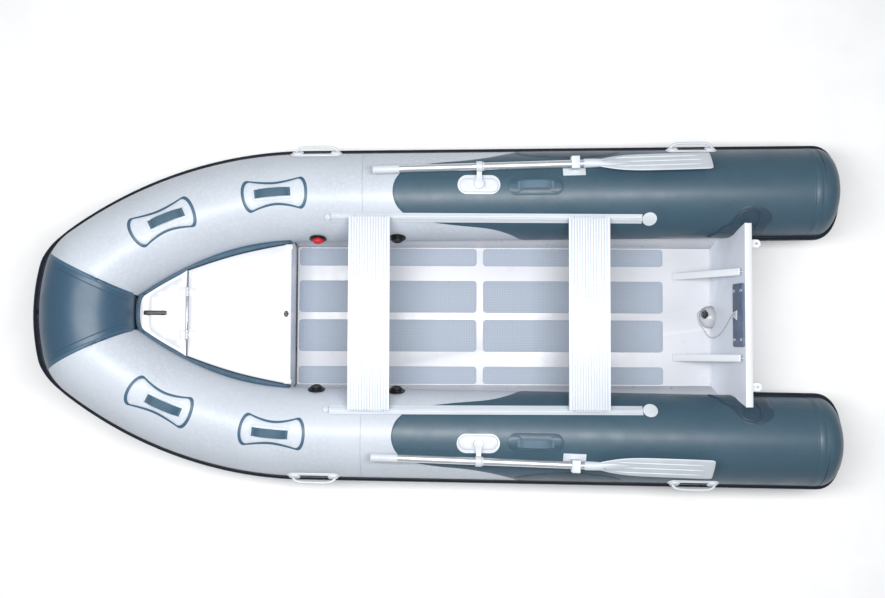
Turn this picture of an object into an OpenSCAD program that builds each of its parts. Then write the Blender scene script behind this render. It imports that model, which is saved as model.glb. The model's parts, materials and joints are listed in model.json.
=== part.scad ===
// Rigid inflatable tender: aluminium V hull, two inflated side tubes that meet in a
// raised nose, bow locker, two sliding bench seats, raked transom and a pair of oars.
// Frame: +X to the bow, +Y to port, +Z up. Origin under the middle of the keel.

/* [Tubes] */
// Diameter of the inflated tubes
tube_d = 440; // [420:5:450]
// Height of the tube centreline above the keel, amidships
tube_z = 350; // [345:1:355]
// Distance from the middle of the boat to the nose of the tube centreline
nose_x = 1724; // [1718:1:1730]
// How far the nose rises above the straight part of the tubes
bow_rise = 150; // [120:5:160]
// Half distance between the tube centrelines where the bow curve ends
tube_y = 583; // [581:1:585]
// Angle by which each straight tube opens out towards the stern
splay = 0.85; // [0.7:0.05:0.95]
// Where the side tubes end and the stern cones begin
cone_x = -1845; // [-1850:1:-1840]
// Length of a stern cone
cone_l = 122; // [115:1:130]
// Wall of the tube fabric
skin_t = 1.5; // [1.5:0.5:3]
// How far the rubbing strake stands proud of the tube
strake_t = 18; // [14:1:20]
// How far the thicker fender on the nose stands proud
fender_t = 41; // [36:1:44]

/* [Hull] */
// Plate thickness of the hull and deck
plate_t = 2; // [2:0.5:3]
// Height of the cockpit floor
floor_z = 160; // [158:1:162]
// Half width of the flat floor
floor_w = 360; // [355:1:365]
// Where the transom meets the floor, on its inner face
transom_x = -1390; // [-1395:1:-1385]
// Height of the transom's top edge
transom_z = 530; // [525:1:535]
// Rake of the transom
rake = 11; // [9:0.5:12]

/* [Bow locker] */
// Aft edge of the locker lid
lid_x0 = 752; // [750:1:756]
// Hinge line of the lid
hinge_x = 1258; // [1254:1:1262]
// Forward tip of the deck edging
deck_tip_x = 1496; // [1492:1:1498]
// Height of the deck at the lid's aft edge
deck_z = 385; // [380:1:390]
// Slope of the deck, rising forward
deck_slope = 5; // [4.5:0.1:5.5]

/* [Seats] */
// Distance of each seat track from the middle of the boat
track_y = 465; // [463:1:466]
// Half length of a bench across the boat
bench_y = 462; // [460:1:463]
// Width of a bench, fore and aft
bench_w = 198; // [180:1:205]
// Middle of the forward bench
bench_fore_x = 354; // [340:1:360]
// Middle of the after bench
bench_aft_x = -705; // [-720:1:-690]

/* [Oars] */
// Pivot of each rowlock, fore and aft
rowlock_x = -172; // [-176:1:-168]
// Pivot of each rowlock, out from the middle
rowlock_y = 620; // [618:1:622]
// Height of the oar shafts
oar_z = 610; // [609:1:612]
// Diameter of an oar shaft
oar_d = 35; // [34:1:36]

/* [Hidden] */
$fn = 48;

tube_r = tube_d / 2;
tube_sides = 32;
nose_r = 795;
nose_turn = 12;
corner_r = 90;
corner_turn = 50;
seam_turn = 26;
turn_end = 90 - splay;
sheer_x = 700;

// Centres of the three arcs that the tube centreline follows in plan, nose to side
nose_c = [nose_x - nose_r, 0];
corner_c = nose_c + (nose_r - corner_r) * [cos(nose_turn), sin(nose_turn)];
bow_start = corner_c + corner_r * [cos(corner_turn), sin(corner_turn)];
bow_r = (tube_y - bow_start.y) / (sin(turn_end) - sin(corner_turn));
bow_c = bow_start - bow_r * [cos(corner_turn), sin(corner_turn)];
straight_x = bow_c.x + bow_r * cos(turn_end);

// Height of the tube centreline at a distance x forward of amidships
function sheer(x) = tube_z + bow_rise * pow(max(0, (x - sheer_x) / (nose_x - sheer_x)), 2);
// A station is [x, y, z, direction of the outward normal in plan]
function arc_station(c, r, a) = let (x = c.x + r * cos(a)) [x, c.y + r * sin(a), sheer(x), a];
function turn_station(a) =
    a < 0 ? let (s = turn_station(-a)) [s.x, -s.y, s.z, a]
    : a <= nose_turn ? arc_station(nose_c, nose_r, a)
    : a <= corner_turn ? arc_station(corner_c, corner_r, a)
    : arc_station(bow_c, bow_r, a);
function side_y(x) = tube_y + (straight_x - x) * tan(splay);
function side_station(x) = [x, side_y(x), tube_z, turn_end];
function station_at(x) = x > straight_x ? turn_station(acos((x - bow_c.x) / bow_r)) : side_station(x);

nose_stations = [for (a = [-seam_turn, -19, -12, -6, 0, 6, 12, 19, seam_turn]) turn_station(a)];
bow_stations = [for (a = [seam_turn, 34, 42, 50, 55, 60, 65, 70, 75, 80, 85, turn_end]) turn_station(a)];
chamber_x = 390;
side_stations = [side_station(chamber_x), side_station(cone_x)];
fore_stations = concat(bow_stations, [side_station(chamber_x)]);

// One ring of points round the tube at a station
function ring(s, r) = [
    for (i = [0 : tube_sides - 1]) let (t = 360 * i / tube_sides)
        [s.x + r * cos(t) * cos(s[3]), s.y + r * cos(t) * sin(s[3]), s.z + r * sin(t)]
];

// Closed band of faces between ring k and ring k + 1 of n points each
function band(first, k, n, flip = false) = [
    for (i = [0 : n - 1])
        let (a = first + k * n + i, b = first + k * n + (i + 1) % n)
            flip ? [a, b, b + n, a + n] : [a, a + n, b + n, b]
];

// Fabric pipe through a list of stations, open at both ends
module pipe(stations) {
    n = tube_sides;
    m = len(stations);
    outer = [for (s = stations) each ring(s, tube_r)];
    inner = [for (s = stations) each ring(s, tube_r - skin_t)];
    far = (m - 1) * n;
    faces = concat(
        [for (k = [0 : m - 2]) each band(0, k, n, true)],
        [for (k = [0 : m - 2]) each band(m * n, k, n)],
        [for (i = [0 : n - 1]) let (j = (i + 1) % n) [i, m * n + i, m * n + j, j]],
        [for (i = [0 : n - 1]) let (j = (i + 1) % n)
            [far + j, far + m * n + j, far + m * n + i, far + i]]
    );
    polyhedron(points = concat(outer, inner), faces = faces, convexity = 4);
}

// Solid swept through rings of equal length, closed at both ends
module sweep(rings) {
    n = len(rings[0]);
    m = len(rings);
    faces = concat(
        [[for (i = [0 : n - 1]) i]],
        [for (k = [0 : m - 2]) each band(0, k, n)],
        [[for (i = [n - 1 : -1 : 0]) (m - 1) * n + i]]
    );
    polyhedron(points = [for (r = rings) each r], faces = faces, convexity = 6);
}

// Extrusion along X of an outline drawn in Y and Z
module along_x(x0, x1) translate([x0, 0, 0]) rotate([90, 0, 90]) linear_extrude(x1 - x0) children();

// Rounded rectangle drawn from its corner points
module round_rect(w, h, r) {
    for (i = [-1, 1]) {
        for (j = [-1, 1]) {
            translate([i * (w / 2 - r), j * (h / 2 - r)]) circle(r);
        }
    }
    square([w - 2 * r, h], center = true);
    square([w, h - 2 * r], center = true);
}

// Copy on both sides of the boat
module both() {
    children();
    mirror([0, 1, 0]) children();
}

// ---- Hull ----
keel_t = 6;
keel_half = 50;
keel_rise_x = 800;
stem_x = 1620;
stem_z = 254;
cradle = tube_r + 3;
frame_xs = [-1000, -400, 200, 640];

// Tube centre over a section of the hull at x: [y, z, widening of the oblique cut]
function tube_at(x) = x <= straight_x ? [side_y(x), tube_z, 1]
    : let (a = acos((x - bow_c.x) / bow_r)) [bow_c.y + bow_r * sin(a), sheer(x), 1 / sin(a)];
function on_tube(x, r, a) = let (c = tube_at(x)) [c[0] + r * c[2] * cos(a), c[1] + r * sin(a)];
// Share of the way from where the keel starts to rise to the top of the stem
function up_stem(x) = max(0, (x - keel_rise_x) / (stem_x - keel_rise_x));
function keel_z(x) = keel_t + (stem_z - keel_t) * pow(up_stem(x), 2.2);
function keel_flat(x) = keel_half * (1 - 0.8 * up_stem(x));

// Half of the hull's section, from the keel out and up, then back inside.
// The flange under the tube ends lower towards the stem.
function flange_end(x) = 208 + 25 * max(0, (x - 1400) / (stem_x - 1400));
function hull_outer(x) = concat(
    [[keel_flat(x), keel_z(x)]],
    [for (k = [0, 0.36, 0.69, 1]) on_tube(x, cradle, 247 - k * (247 - flange_end(x)))]
);
function hull_inner(x) = concat(
    [for (k = [1, 0.69, 0.36, 0.08]) on_tube(x, cradle + plate_t, 247 - k * (247 - flange_end(x)))],
    [[keel_flat(x), keel_z(x) + plate_t]]
);
function flip_y(pts) = [for (i = [len(pts) - 1 : -1 : 0]) [-pts[i][0], pts[i][1]]];
function hull_loop(x) = concat(hull_outer(x), hull_inner(x), flip_y(hull_inner(x)), flip_y(hull_outer(x)));
// The aft end of the hull and floor leans with the transom
function raked(x, z) = x > transom_x ? x : transom_x + (floor_z - z) * tan(rake);
function section(x, loop) = [for (p = loop) [raked(x, p[1]), p[0], p[1]]];

module hull_shell() {
    color("white")
        sweep([for (x = [transom_x, -600, 200, straight_x, keel_rise_x, 950, 1100, 1250, 1400, 1520, stem_x])
            section(x, hull_loop(x))]);
}

module keel_strip() {
    color("gainsboro") translate([transom_x + 40, -keel_half, 0])
        cube([keel_rise_x - transom_x - 40, 2 * keel_half, keel_t]);
}

// Half outline of a frame, 3 mm clear of the bottom and ending short of the chine
rib_share = 0.88;
function rib(x) =
    let (chine = hull_inner(x)[3], low = keel_t + plate_t)
    [[keel_half, low + 3],
        [keel_half + rib_share * (chine[0] - keel_half), low + 3 + rib_share * (chine[1] - low)],
        [floor_w, floor_z - plate_t - 1]];
module hull_frames() {
    color("lightgray") for (x = frame_xs) along_x(x, x + plate_t) polygon(concat(rib(x), flip_y(rib(x))));
}

// Floor tray: a flat plate, and on each side a sheet that rises to the tube
function floor_side(x) =
    let (edge = on_tube(x, cradle, 204))
    [[floor_w - 3, floor_z - plate_t], [floor_w, floor_z - plate_t], [edge[0] + 1, edge[1] - 2],
        [edge[0] - 4, edge[1] + 1], [floor_w - 3, floor_z]];
module floor_deck() {
    color("white") {
        difference() {
            translate([transom_x + 0.6, -(floor_w - 3.5), floor_z - plate_t])
                cube([lid_x0 - transom_x - 0.6, 2 * (floor_w - 3.5), plate_t]);
            translate([well_c.x, well_c.y, floor_z - 20]) cylinder(h = 40, r = well_r + well_fit);
        }
        both() sweep([for (x = [transom_x, straight_x, lid_x0]) section(x, floor_side(x))]);
    }
}

// Anti-slip pads: an inner and an outer row on each side, in two lengths
pad_t = 3;
pad_cols = [[-173, 741], [-1139, -211]];
pad_rows = [[21, 181], [263, 348]];
module floor_pads() {
    color("silver") both() for (c = pad_cols) for (r = pad_rows)
        translate([(c[0] + c[1]) / 2, (r[0] + r[1]) / 2, floor_z]) linear_extrude(pad_t)
            round_rect(c[1] - c[0], r[1] - r[0], 14);
}

// ---- Transom ----
// Frame of the transom plate: Y across, Z up the rake, X aft from the inner face
module on_transom() {
    translate([transom_x, 0, floor_z]) rotate([0, -rake, 0]) mirror([1, 0, 0]) children();
}
function up_rake(z) = (z - floor_z) / cos(rake);
transom_h = up_rake(transom_z);
transom_y = side_y(transom_x - 40);
transom_top_y = 446;
transom_gap = 3;
module transom_outline() {
    r = tube_r + transom_gap;
    side = [for (a = [246 : -12 : 150]) [transom_y + r * cos(a), up_rake(tube_z + r * sin(a))]];
    half = concat([[keel_half, up_rake(keel_t)]], side, [[transom_top_y, transom_h]]);
    polygon(concat(half, flip_y(half)));
}
module transom_plate() {
    color("white") difference() {
        on_transom() {
            rotate([90, 0, 90]) linear_extrude(plate_t) transom_outline();
            translate([0, -transom_top_y, transom_h - 4]) cube([36, 2 * transom_top_y, 4]);
        }
        translate(well_c) sphere(well_r + well_fit);
    }
}
// Knees: gusset plates that brace the transom to the floor
module transom_knees() {
    color("white") for (y = [-210, 210]) translate([0, y, 0]) {
        translate([0, 2, 0]) rotate([90, 0, 0]) linear_extrude(4)
            polygon([[knee_x, floor_z + 0.5], [knee_x - 14, floor_z + 0.5], [transom_x + 1, floor_z + 0.5],
                [knee_top_x, knee_top_z], [knee_top_x + 22, knee_top_z]]);
        translate([0, 17, 0]) rotate([90, 0, 0]) linear_extrude(35)
            polygon([[knee_x, floor_z + 0.5], [knee_x - 5, floor_z + 0.5], [knee_top_x + 18, knee_top_z],
                [knee_top_x + 23, knee_top_z]]);
    }
}
knee_x = -1190;
knee_top_z = transom_z - 10;
knee_top_x = transom_x + 1 - (knee_top_z - floor_z) * tan(rake);

module motor_pad(w, z0, z1) {
    translate([0, 0, z0]) rotate([90, 0, 90]) linear_extrude(w) translate([0, (z1 - z0) / 2])
        round_rect(pad_w, z1 - z0, 12);
}
// Clamping pads for the motor, one on each face of the transom
pad_w = 310;
pad_top = transom_h - 6;
pad_low = transom_h - 110;
// Outline of the lanyard's tab, which sits in a notch in the inner pad
tab_low = 8;
tab_high = 45;
function tab_outline(low, high, half) =
    [[-half, pad_low + high], [half, pad_low + high], [8, pad_low + low], [-16, pad_low + low]];
module motor_pad_inner() {
    color("slategray") on_transom() difference() {
        translate([-12, 0, 0]) motor_pad(12, pad_low, pad_top);
        translate([-13, 0, 0]) rotate([90, 0, 90]) linear_extrude(14)
            polygon(tab_outline(-1, tab_high + 2, 26));
    }
}
module motor_pad_outer() {
    color("slategray") on_transom() translate([plate_t, 0, 0]) motor_pad(12, pad_low, pad_top - 4);
}

// Drain well: a round dimple in the bend between floor and transom, with a bung seat
well_c = [-1384, 0, 163];
well_r = 58;
well_fit = 2.3;
bung_seat = [-1366, -16, 130];
bung_r = 16;
module behind_bend() {
    translate([-1460, -80, 60]) cube([160, 160, floor_z - 60]);
    on_transom() translate([0, -80, -20]) cube([80, 160, 140]);
}
module drain_well() {
    color("gainsboro") {
        intersection() {
            difference() {
                translate(well_c) sphere(well_r + 2);
                translate(well_c) sphere(well_r - 0.5);
            }
            behind_bend();
        }
        difference() {
            translate([bung_seat.x, bung_seat.y, 112]) cylinder(h = bung_seat.z - 112, r = 20);
            translate([bung_seat.x, bung_seat.y, bung_seat.z - 9]) cylinder(h = 12, r = bung_r);
        }
    }
}
// Quarter-turn bung with a grip bar and a stub for its lanyard
module drain_plug() {
    color("black") translate(bung_seat) {
        translate([0, 0, -8]) cylinder(h = 8.5, r = bung_r - 0.05);
        translate([0, 0, 0.2]) cylinder(h = 4, r = 19);
        translate([-6, -22, 4.2]) cube([12, 44, 9]);
        translate([0, 0, 13.2]) cylinder(h = 5, r = 4);
    }
}
// Lanyard: hand-placed route from the tab on the transom to the top of the bung
cord_d = 2;
cord_route = [[-1428.4, -6, 438], [-1424, 4, 420], [-1422, 16, 400], [-1419, 34, 376], [-1415, 54, 345],
    [-1410, 74, 310], [-1403, 92, 275], [-1394, 104, 235], [-1385, 107, 200], [-1376, 100, 174],
    [-1366, 86, 163], [-1354, 66, 161.5], [-1341, 48, 161.5], [-1330, 30, 161.5], [-1323, 10, 161.5],
    [-1322, -10, 161.5], [-1327, -26, 162], [-1338, -33, 163], [-1350, -29, 161], [-1360, -21, 156],
    [-1365.5, -17, 151.5], [-1366, -16, 148.6]];
function unit(v) = v / norm(v);
function route_dir(k) = unit(cord_route[min(k + 1, len(cord_route) - 1)] - cord_route[max(k - 1, 0)]);
function side_dir(t) = unit(abs(t.x) < 0.9 ? cross(t, [1, 0, 0]) : cross(t, [0, 1, 0]));
function cord_ring(k) = let (t = route_dir(k), u = side_dir(t), v = cross(t, u))
    [for (i = [0 : 7]) cord_route[k] + cord_d / 2 * (cos(45 * i) * u + sin(45 * i) * v)];
module drain_lanyard() color("silver") sweep([for (k = [0 : len(cord_route) - 1]) cord_ring(k)]);

module lanyard_tab() {
    color("white") on_transom() translate([-14, 0, 0]) rotate([90, 0, 90]) linear_extrude(14)
        polygon(tab_outline(tab_low, tab_high, 24));
}

// Towing eyes behind the transom and an eye on the stem
eye_y = 350;
eye_x = -1532;
eye_hole_r = 6;
bow_hole_r = 8;
stem_tilt = 31.5;
module eye_plate(reach, hole_r) {
    difference() {
        union() {
            cylinder(h = 10, r = 20);
            translate([0, -20, 0]) cube([reach, 40, 10]);
        }
        translate([0, 0, -1]) cylinder(h = 12, r = hole_r);
    }
}
module towing_eyes() color("white") both() translate([eye_x, eye_y, 478]) eye_plate(75, eye_hole_r);
module bow_eye() {
    color("silver") translate([1590, 5, 203]) rotate([90, 0, 0]) rotate([0, 0, 90 + stem_tilt])
        eye_plate(23, bow_hole_r);
}

// ---- Tubes ----
module nose_tube() color("slategray") pipe(nose_stations);
module bow_tube_port() color("gainsboro") pipe(fore_stations);
module bow_tube_starboard() color("gainsboro") mirror([0, 1, 0]) pipe(fore_stations);
module side_tube_port() color("lightslategray") pipe(side_stations);
module side_tube_starboard() color("lightslategray") mirror([0, 1, 0]) pipe(side_stations);

// Blunt cone: outline of a superellipse turned round the tube's axis
cone_power = 2.3;
function cone_pt(t, r, l) = [r * pow(cos(t), 2 / cone_power), l * pow(sin(t), 2 / cone_power)];
module stern_cones() {
    outer = [for (t = [0 : 9 : 90]) cone_pt(t, tube_r - 1, cone_l - 4)];
    inner = [for (t = [90 : -9 : 0]) cone_pt(t, tube_r - 1 - skin_t, cone_l - 4 - skin_t)];
    color("slategray") both() translate([cone_x, side_y(cone_x), tube_z]) rotate([0, 0, -splay])
        translate([-0.1, 0, 0]) rotate([0, -90, 0]) rotate_extrude() polygon(concat(outer, inner));
}

// Inner walls that part the tubes into separate air chambers
module baffle(s) {
    translate([s.x, s.y, s.z]) rotate([0, 0, s[3] + 90]) rotate([90, 0, 0])
        cylinder(h = 3, r = tube_r - skin_t - 3, center = true);
}
module tube_baffles() {
    color("dimgray") {
        baffle(turn_station(0));
        both() baffle(side_station(chamber_x + 6));
    }
}

// Rubbing strake: a D-shaped band round the widest part of the tubes
strake_h = 32;
function strake_form(t) = [[0, -strake_h], [t * 0.6, -strake_h], [t, -strake_h * 0.5],
    [t, strake_h * 0.5], [t * 0.6, strake_h], [0, strake_h]];
// The strake thickens to a fender towards the nose
function strake_at(a) = strake_t + (fender_t - strake_t) * min(1, max(0, (45 - abs(a)) / 27));
function strake_ring(s) = let (d = [cos(s[3]), sin(s[3]), 0])
    [for (p = strake_form(strake_at(s[3]))) [s.x, s.y, s.z] + (tube_r + p[0]) * d + [0, 0, p[1]]];
// Plan outline of the strake round a stern cone, from the outside to the inside
function wrap_ring(t) =
    let (q = cone_pt(t > 90 ? 180 - t : t, tube_r, cone_l), y = t > 90 ? -q[0] : q[0],
        d = unit([-sin(t) * tube_r, cos(t) * cone_l, 0]))
    [for (p = strake_form(strake_t)) [cone_x - q[1], side_y(cone_x) + y, tube_z + p[1]] + p[0] * d];
inner_end_x = -1500;
function inner_ring(x) = [for (p = strake_form(strake_t)) [x, side_y(x) - tube_r - p[0], tube_z + p[1]]];
module side_strake() {
    sweep(concat([for (s = concat(bow_stations, [side_station(cone_x)])) strake_ring(s)],
        [for (t = [6 : 8 : 174]) wrap_ring(t)], [inner_ring(cone_x), inner_ring(inner_end_x)]));
}
module strake_nose() color("darkslategray") sweep([for (s = nose_stations) strake_ring(s)]);
module strake_port() color("darkslategray") side_strake();
module strake_starboard() color("darkslategray") mirror([0, 1, 0]) side_strake();

// ---- Bow locker ----
// Frame of the deck: X forward along it from the lid's aft edge, Z square to it
module on_deck() translate([lid_x0, 0, deck_z]) rotate([0, -deck_slope, 0]) children();
function deck_u(x) = (x - lid_x0) / cos(deck_slope);
hinge_u = deck_u(hinge_x);
// Rubber edging between deck and tube: its width, its thickness and its gap to the tube
edge_w = 20;
edging_t = 5;
edging_gap = 2.5;
lid_aft_half = 352;
lid_fore_half = 212;
lid_side = [[0, lid_aft_half], [hinge_u * 0.25, 326], [hinge_u * 0.5, 296], [hinge_u * 0.75, 258],
    [hinge_u, lid_fore_half]];
function inset(pts, d) = [for (p = pts) [p[0], p[1] - d]];
function flip_v(pts) = [for (i = [len(pts) - 1 : -1 : 0]) [pts[i][0], -pts[i][1]]];
// Half width of the deck at x, where it meets the tube
tube_gap = 6;
function deck_half(x) =
    let (c = tube_at(x), dz = deck_z + (x - lid_x0) * tan(deck_slope) - c[1])
    c[0] - c[2] * sqrt(pow(tube_r + tube_gap, 2) - dz * dz);
round_x = 1470;
deck_side = [for (x = [lid_x0, 880, 1000, 1120, hinge_x, 1350, 1420, round_x]) [deck_u(x), deck_half(x)]];
deck_nose = [for (t = [75 : -15 : 15])
    [deck_u(round_x + (deck_tip_x - round_x) * cos(t)), deck_half(round_x) * sin(t)]];
module deck_outline(d) {
    half = inset(concat(deck_side, [for (p = deck_nose) [p[0] - d, p[1]]]), d);
    polygon(concat(half, flip_v(half)));
}
module lid_outline(gap, u0 = 0, u1 = 0) {
    half = inset(lid_side, gap);
    intersection() {
        polygon(concat(half, flip_v(half)));
        translate([u0, -500]) square([hinge_u - u1 - u0, 1000]);
    }
}
module foredeck() {
    color("white") on_deck() translate([0, 0, -plate_t]) linear_extrude(plate_t) difference() {
        deck_outline(4);
        translate([-1, 0]) lid_outline(-1);
    }
}
module deck_edging() {
    color("darkslategray") on_deck() linear_extrude(edging_t) difference() {
        deck_outline(edging_gap);
        translate([-1, 0]) lid_outline(-2);
        intersection() {
            deck_outline(edge_w);
            translate([hinge_u - 2, -500]) square([600, 1000]);
        }
    }
}
rim_t = 3;
rim_h = 16;
latch_u = 25;
latch_r = 5;
module locker_lid() {
    color("white") on_deck() difference() {
        translate([0, 0, -plate_t - rim_h]) linear_extrude(plate_t + rim_h) lid_outline(1, 0, 2);
        translate([0, 0, -plate_t - rim_h - 1]) linear_extrude(rim_h + 1)
            lid_outline(1 + rim_t, rim_t, 2 + rim_t);
        translate([latch_u, 0, -plate_t - 1]) cylinder(h = plate_t + 2, r = latch_r + 0.05);
    }
}
// Locker: aft and forward bulkheads with the floor between them
bulk_u = 8;
bulk_x = lid_x0 + bulk_u;
fore_bulk_x = hinge_x + 4;
function deck_under(x) = deck_z + (x - lid_x0) * tan(deck_slope) - (plate_t + 1) / cos(deck_slope);
bulk_gap = 7;
rim_clear = 12;
function bulk_side(x, low, high) = [for (a = [low : -6 : high]) on_tube(x, tube_r + bulk_gap, a)];
function bulk_top(half, z) = [[half, z - 24], [half, z]];
module locker_box() {
    aft = concat([[floor_w - 2, floor_z + 0.5]], bulk_side(bulk_x + 3, 204, 186),
        bulk_top(lid_aft_half - rim_clear, deck_under(bulk_x)));
    fore = concat([[235, floor_z + 20]], bulk_side(fore_bulk_x + 3, 240, 180),
        bulk_top(lid_fore_half - rim_clear, deck_under(fore_bulk_x)));
    color("white") {
        along_x(bulk_x, bulk_x + 3) polygon(concat(aft, flip_y(aft)));
        along_x(fore_bulk_x, fore_bulk_x + 3) polygon(concat(fore, flip_y(fore)));
        translate([0, 0, floor_z + 20]) linear_extrude(3)
            polygon([[bulk_x, -355], [fore_bulk_x, -233], [fore_bulk_x, 233], [bulk_x, 355]]);
    }
}
// Two hinges on one pin, and the latch near the lid's aft edge
pin_r = 4;
pin_w = 8;
hinge_y = 105;
module knuckle(y0, y1) translate([hinge_u, y0, pin_w]) rotate([-90, 0, 0]) cylinder(h = y1 - y0, r = 7.5);
module pin_bore() translate([hinge_u, -160, pin_w]) rotate([-90, 0, 0]) cylinder(h = 320, r = pin_r + 0.05);
module hinge_pin() {
    color("silver") on_deck() translate([hinge_u, -135, pin_w]) rotate([-90, 0, 0])
        cylinder(h = 270, r = pin_r);
}
module hinge_leaf_deck() {
    color("white") on_deck() difference() {
        both() {
            knuckle(hinge_y - 22, hinge_y - 8);
            knuckle(hinge_y + 8, hinge_y + 22);
            translate([hinge_u + 9, hinge_y - 22, 0]) cube([31, 44, 3]);
            for (y = [-22, 8]) translate([hinge_u, hinge_y + y, 0.5]) cube([10, 14, 4]);
        }
        pin_bore();
    }
}
module hinge_leaf_lid() {
    color("white") on_deck() difference() {
        both() {
            knuckle(hinge_y - 7.7, hinge_y + 7.7);
            translate([hinge_u - 40, hinge_y - 22, 0]) cube([31, 44, 3]);
            translate([hinge_u - 12, hinge_y - 7.7, 0]) cube([12, 15.4, 4]);
        }
        pin_bore();
    }
}
module latch_turn() {
    color("black") on_deck() translate([latch_u, 0, 0]) {
        translate([0, 0, -32]) cylinder(h = 33, r = latch_r);
        cylinder(h = 3, r = 12);
        translate([-6, -15, 3]) cube([12, 30, 9]);
        translate([-5, 0, -31]) cube([10, 12.5, 4]);
    }
}
module latch_keeper() {
    color("gainsboro") on_deck() translate([bulk_u + 5, -20, -24]) cube([4.5, 40, 3]);
}
module bow_cleat() {
    color("black") on_deck() translate([deck_u(1410), 0, 0]) {
        for (u = [-34, 34]) translate([u, 0, 0]) cylinder(h = 17, r = 9);
        translate([0, 0, 16]) linear_extrude(9) round_rect(105, 20, 9.9);
    }
}

// ---- Seats ----
track_slope = atan(0.0107);
track_mid_x = -210;
track_t = 4;
track_rise = 33.5;
ridge = 12;
function track_z(x) = 529.5 + (x - track_mid_x) * tan(track_slope);
// Frame of a track: X along it, Y up the tube's shoulder, Z square to the tube
module on_track(x) {
    translate([x, track_y, track_z(x)]) rotate([0, -track_slope, 0]) rotate([track_rise, 0, 0]) children();
}
track_x0 = -966;
track_x1 = 544;
module seat_tracks() {
    color("gainsboro") both() on_track(track_x0) rotate([90, 0, 90]) linear_extrude(track_x1 - track_x0) {
        translate([-25, 0]) square([50, track_t]);
        translate([-ridge / 2, track_t]) square([ridge, ridge - 3]);
    }
}
module track_caps() {
    color("gainsboro") both() {
        on_track(track_x0 - 36.3) cylinder(h = track_t + 2, r = 36);
        on_track(track_x1 + 15.3) cylinder(h = track_t + 2, r = 15);
    }
}
bench_low = 553;
bench_t = 22;
module bench(x) {
    rib = 13;
    z0 = bench_low + (x - track_mid_x) * tan(track_slope);
    color("silver") translate([x, bench_y, z0]) rotate([90, 0, 0]) linear_extrude(2 * bench_y) difference() {
        translate([-bench_w / 2, 0]) square([bench_w, bench_t]);
        for (k = [-7 : 6]) translate([k * rib + rib / 2, bench_t]) circle(2);
        for (k = [-1.5 : 1.5]) translate([k * 48, 10]) square([45, 15], center = true);
    }
}
module sliders(x) {
    z0 = bench_low + (x - track_mid_x) * tan(track_slope);
    color("dimgray") both() difference() {
        translate([x - 70, 425, z0 - 20]) cube([140, 46, 19.9]);
        on_track(x - 200) translate([0, -60, -60]) cube([400, 120, 60 + track_t + 0.4]);
        on_track(x - 200) translate([0, -ridge / 2 - 0.3, 0]) cube([400, ridge + 0.6, ridge + track_t - 2]);
    }
}
module bench_fore() bench(bench_fore_x);
module bench_fore_sliders() sliders(bench_fore_x);
module bench_aft() bench(bench_aft_x);
module bench_aft_sliders() sliders(bench_aft_x);

// ---- Valves ----
valve_xs = [619, 226];
valve_bore = 15;
valve_lift = 18;
// Frame of a valve: Z square to the tube, pointing into the cockpit
module on_valve(x) {
    translate([x, side_y(x) - (tube_r + 1) * cos(valve_lift), tube_z + (tube_r + 1) * sin(valve_lift)])
        rotate([90 - valve_lift, 0, 0]) children();
}
module valve_body() {
    difference() {
        union() {
            cylinder(h = 5, r = 42);
            cylinder(h = 10, r = 26);
        }
        translate([0, 0, -1]) cylinder(h = 12, r = valve_bore);
    }
}
module valve_cap() {
    translate([0, 0, 2]) cylinder(h = 9, r = valve_bore - 0.05);
    translate([0, 0, 10.3]) cylinder(h = 9, r = 25);
    for (a = [0 : 30 : 330]) rotate([0, 0, a]) translate([25, 0, 10.3]) cylinder(h = 8, r = 2.5);
}
module valve_bodies() color("black") both() for (x = valve_xs) on_valve(x) valve_body();
module valve_cap_1() color("firebrick") mirror([0, 1, 0]) on_valve(valve_xs[0]) valve_cap();
module valve_cap_2() color("black") on_valve(valve_xs[0]) valve_cap();
module valve_cap_3() color("black") mirror([0, 1, 0]) on_valve(valve_xs[1]) valve_cap();
module valve_cap_4() color("black") on_valve(valve_xs[1]) valve_cap();

// ---- Handles ----
// Arched strap of length l, height h, width w and thickness t, ends flat on the tube
module arch(l, h, w, t) {
    top = [for (k = [-10 : 10]) [k * l / 20, t + (h - t) * (1 - pow(k / 10, 4))]];
    low = [for (k = [10 : -1 : -10]) [k * (l / 2 - 26) / 10, (h - t) * (1 - pow(k / 10, 4))]];
    translate([0, w / 2, 0]) rotate([90, 0, 0]) linear_extrude(w)
        polygon(concat([[-l / 2, 0]], top, [[l / 2, 0]], low));
}
// Frame on the tube at a station: X forward along it, Z out from it at the angle up
module on_skin(s, up) {
    out = tube_r * cos(up);
    translate([s.x + out * cos(s[3]), s.y + out * sin(s[3]), s.z + tube_r * sin(up)])
        rotate([0, 0, s[3] - 90]) rotate([up - 90, 0, 0]) children();
}
bow_handle_turns = [65.6, 84.3];
module bow_strap_handles() {
    color("lightslategray") both() for (a = bow_handle_turns) on_skin(turn_station(a), 90)
        translate([0, 0, 1.8]) rotate([0, -(90 - a) * 0.38, 0]) arch(185, 30, 42, 4);
}
side_handle_x = -447;
module side_strap_handles() {
    color("darkslategray") both() on_skin(side_station(side_handle_x), 84) arch(190, 28, 40, 4);
}
carry_xs = [622, -1232];
carry_up = 20;
module carry_handles() {
    color("gainsboro") both() for (x = carry_xs) on_skin(station_at(x), carry_up) {
        difference() {
            translate([-122, -24, 0]) cube([244, 48, 4]);
            translate([-60, -14, -1]) cube([120, 28, 6]);
        }
        translate([0, 0, 4]) arch(236, 40, 30, 13);
    }
}

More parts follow.
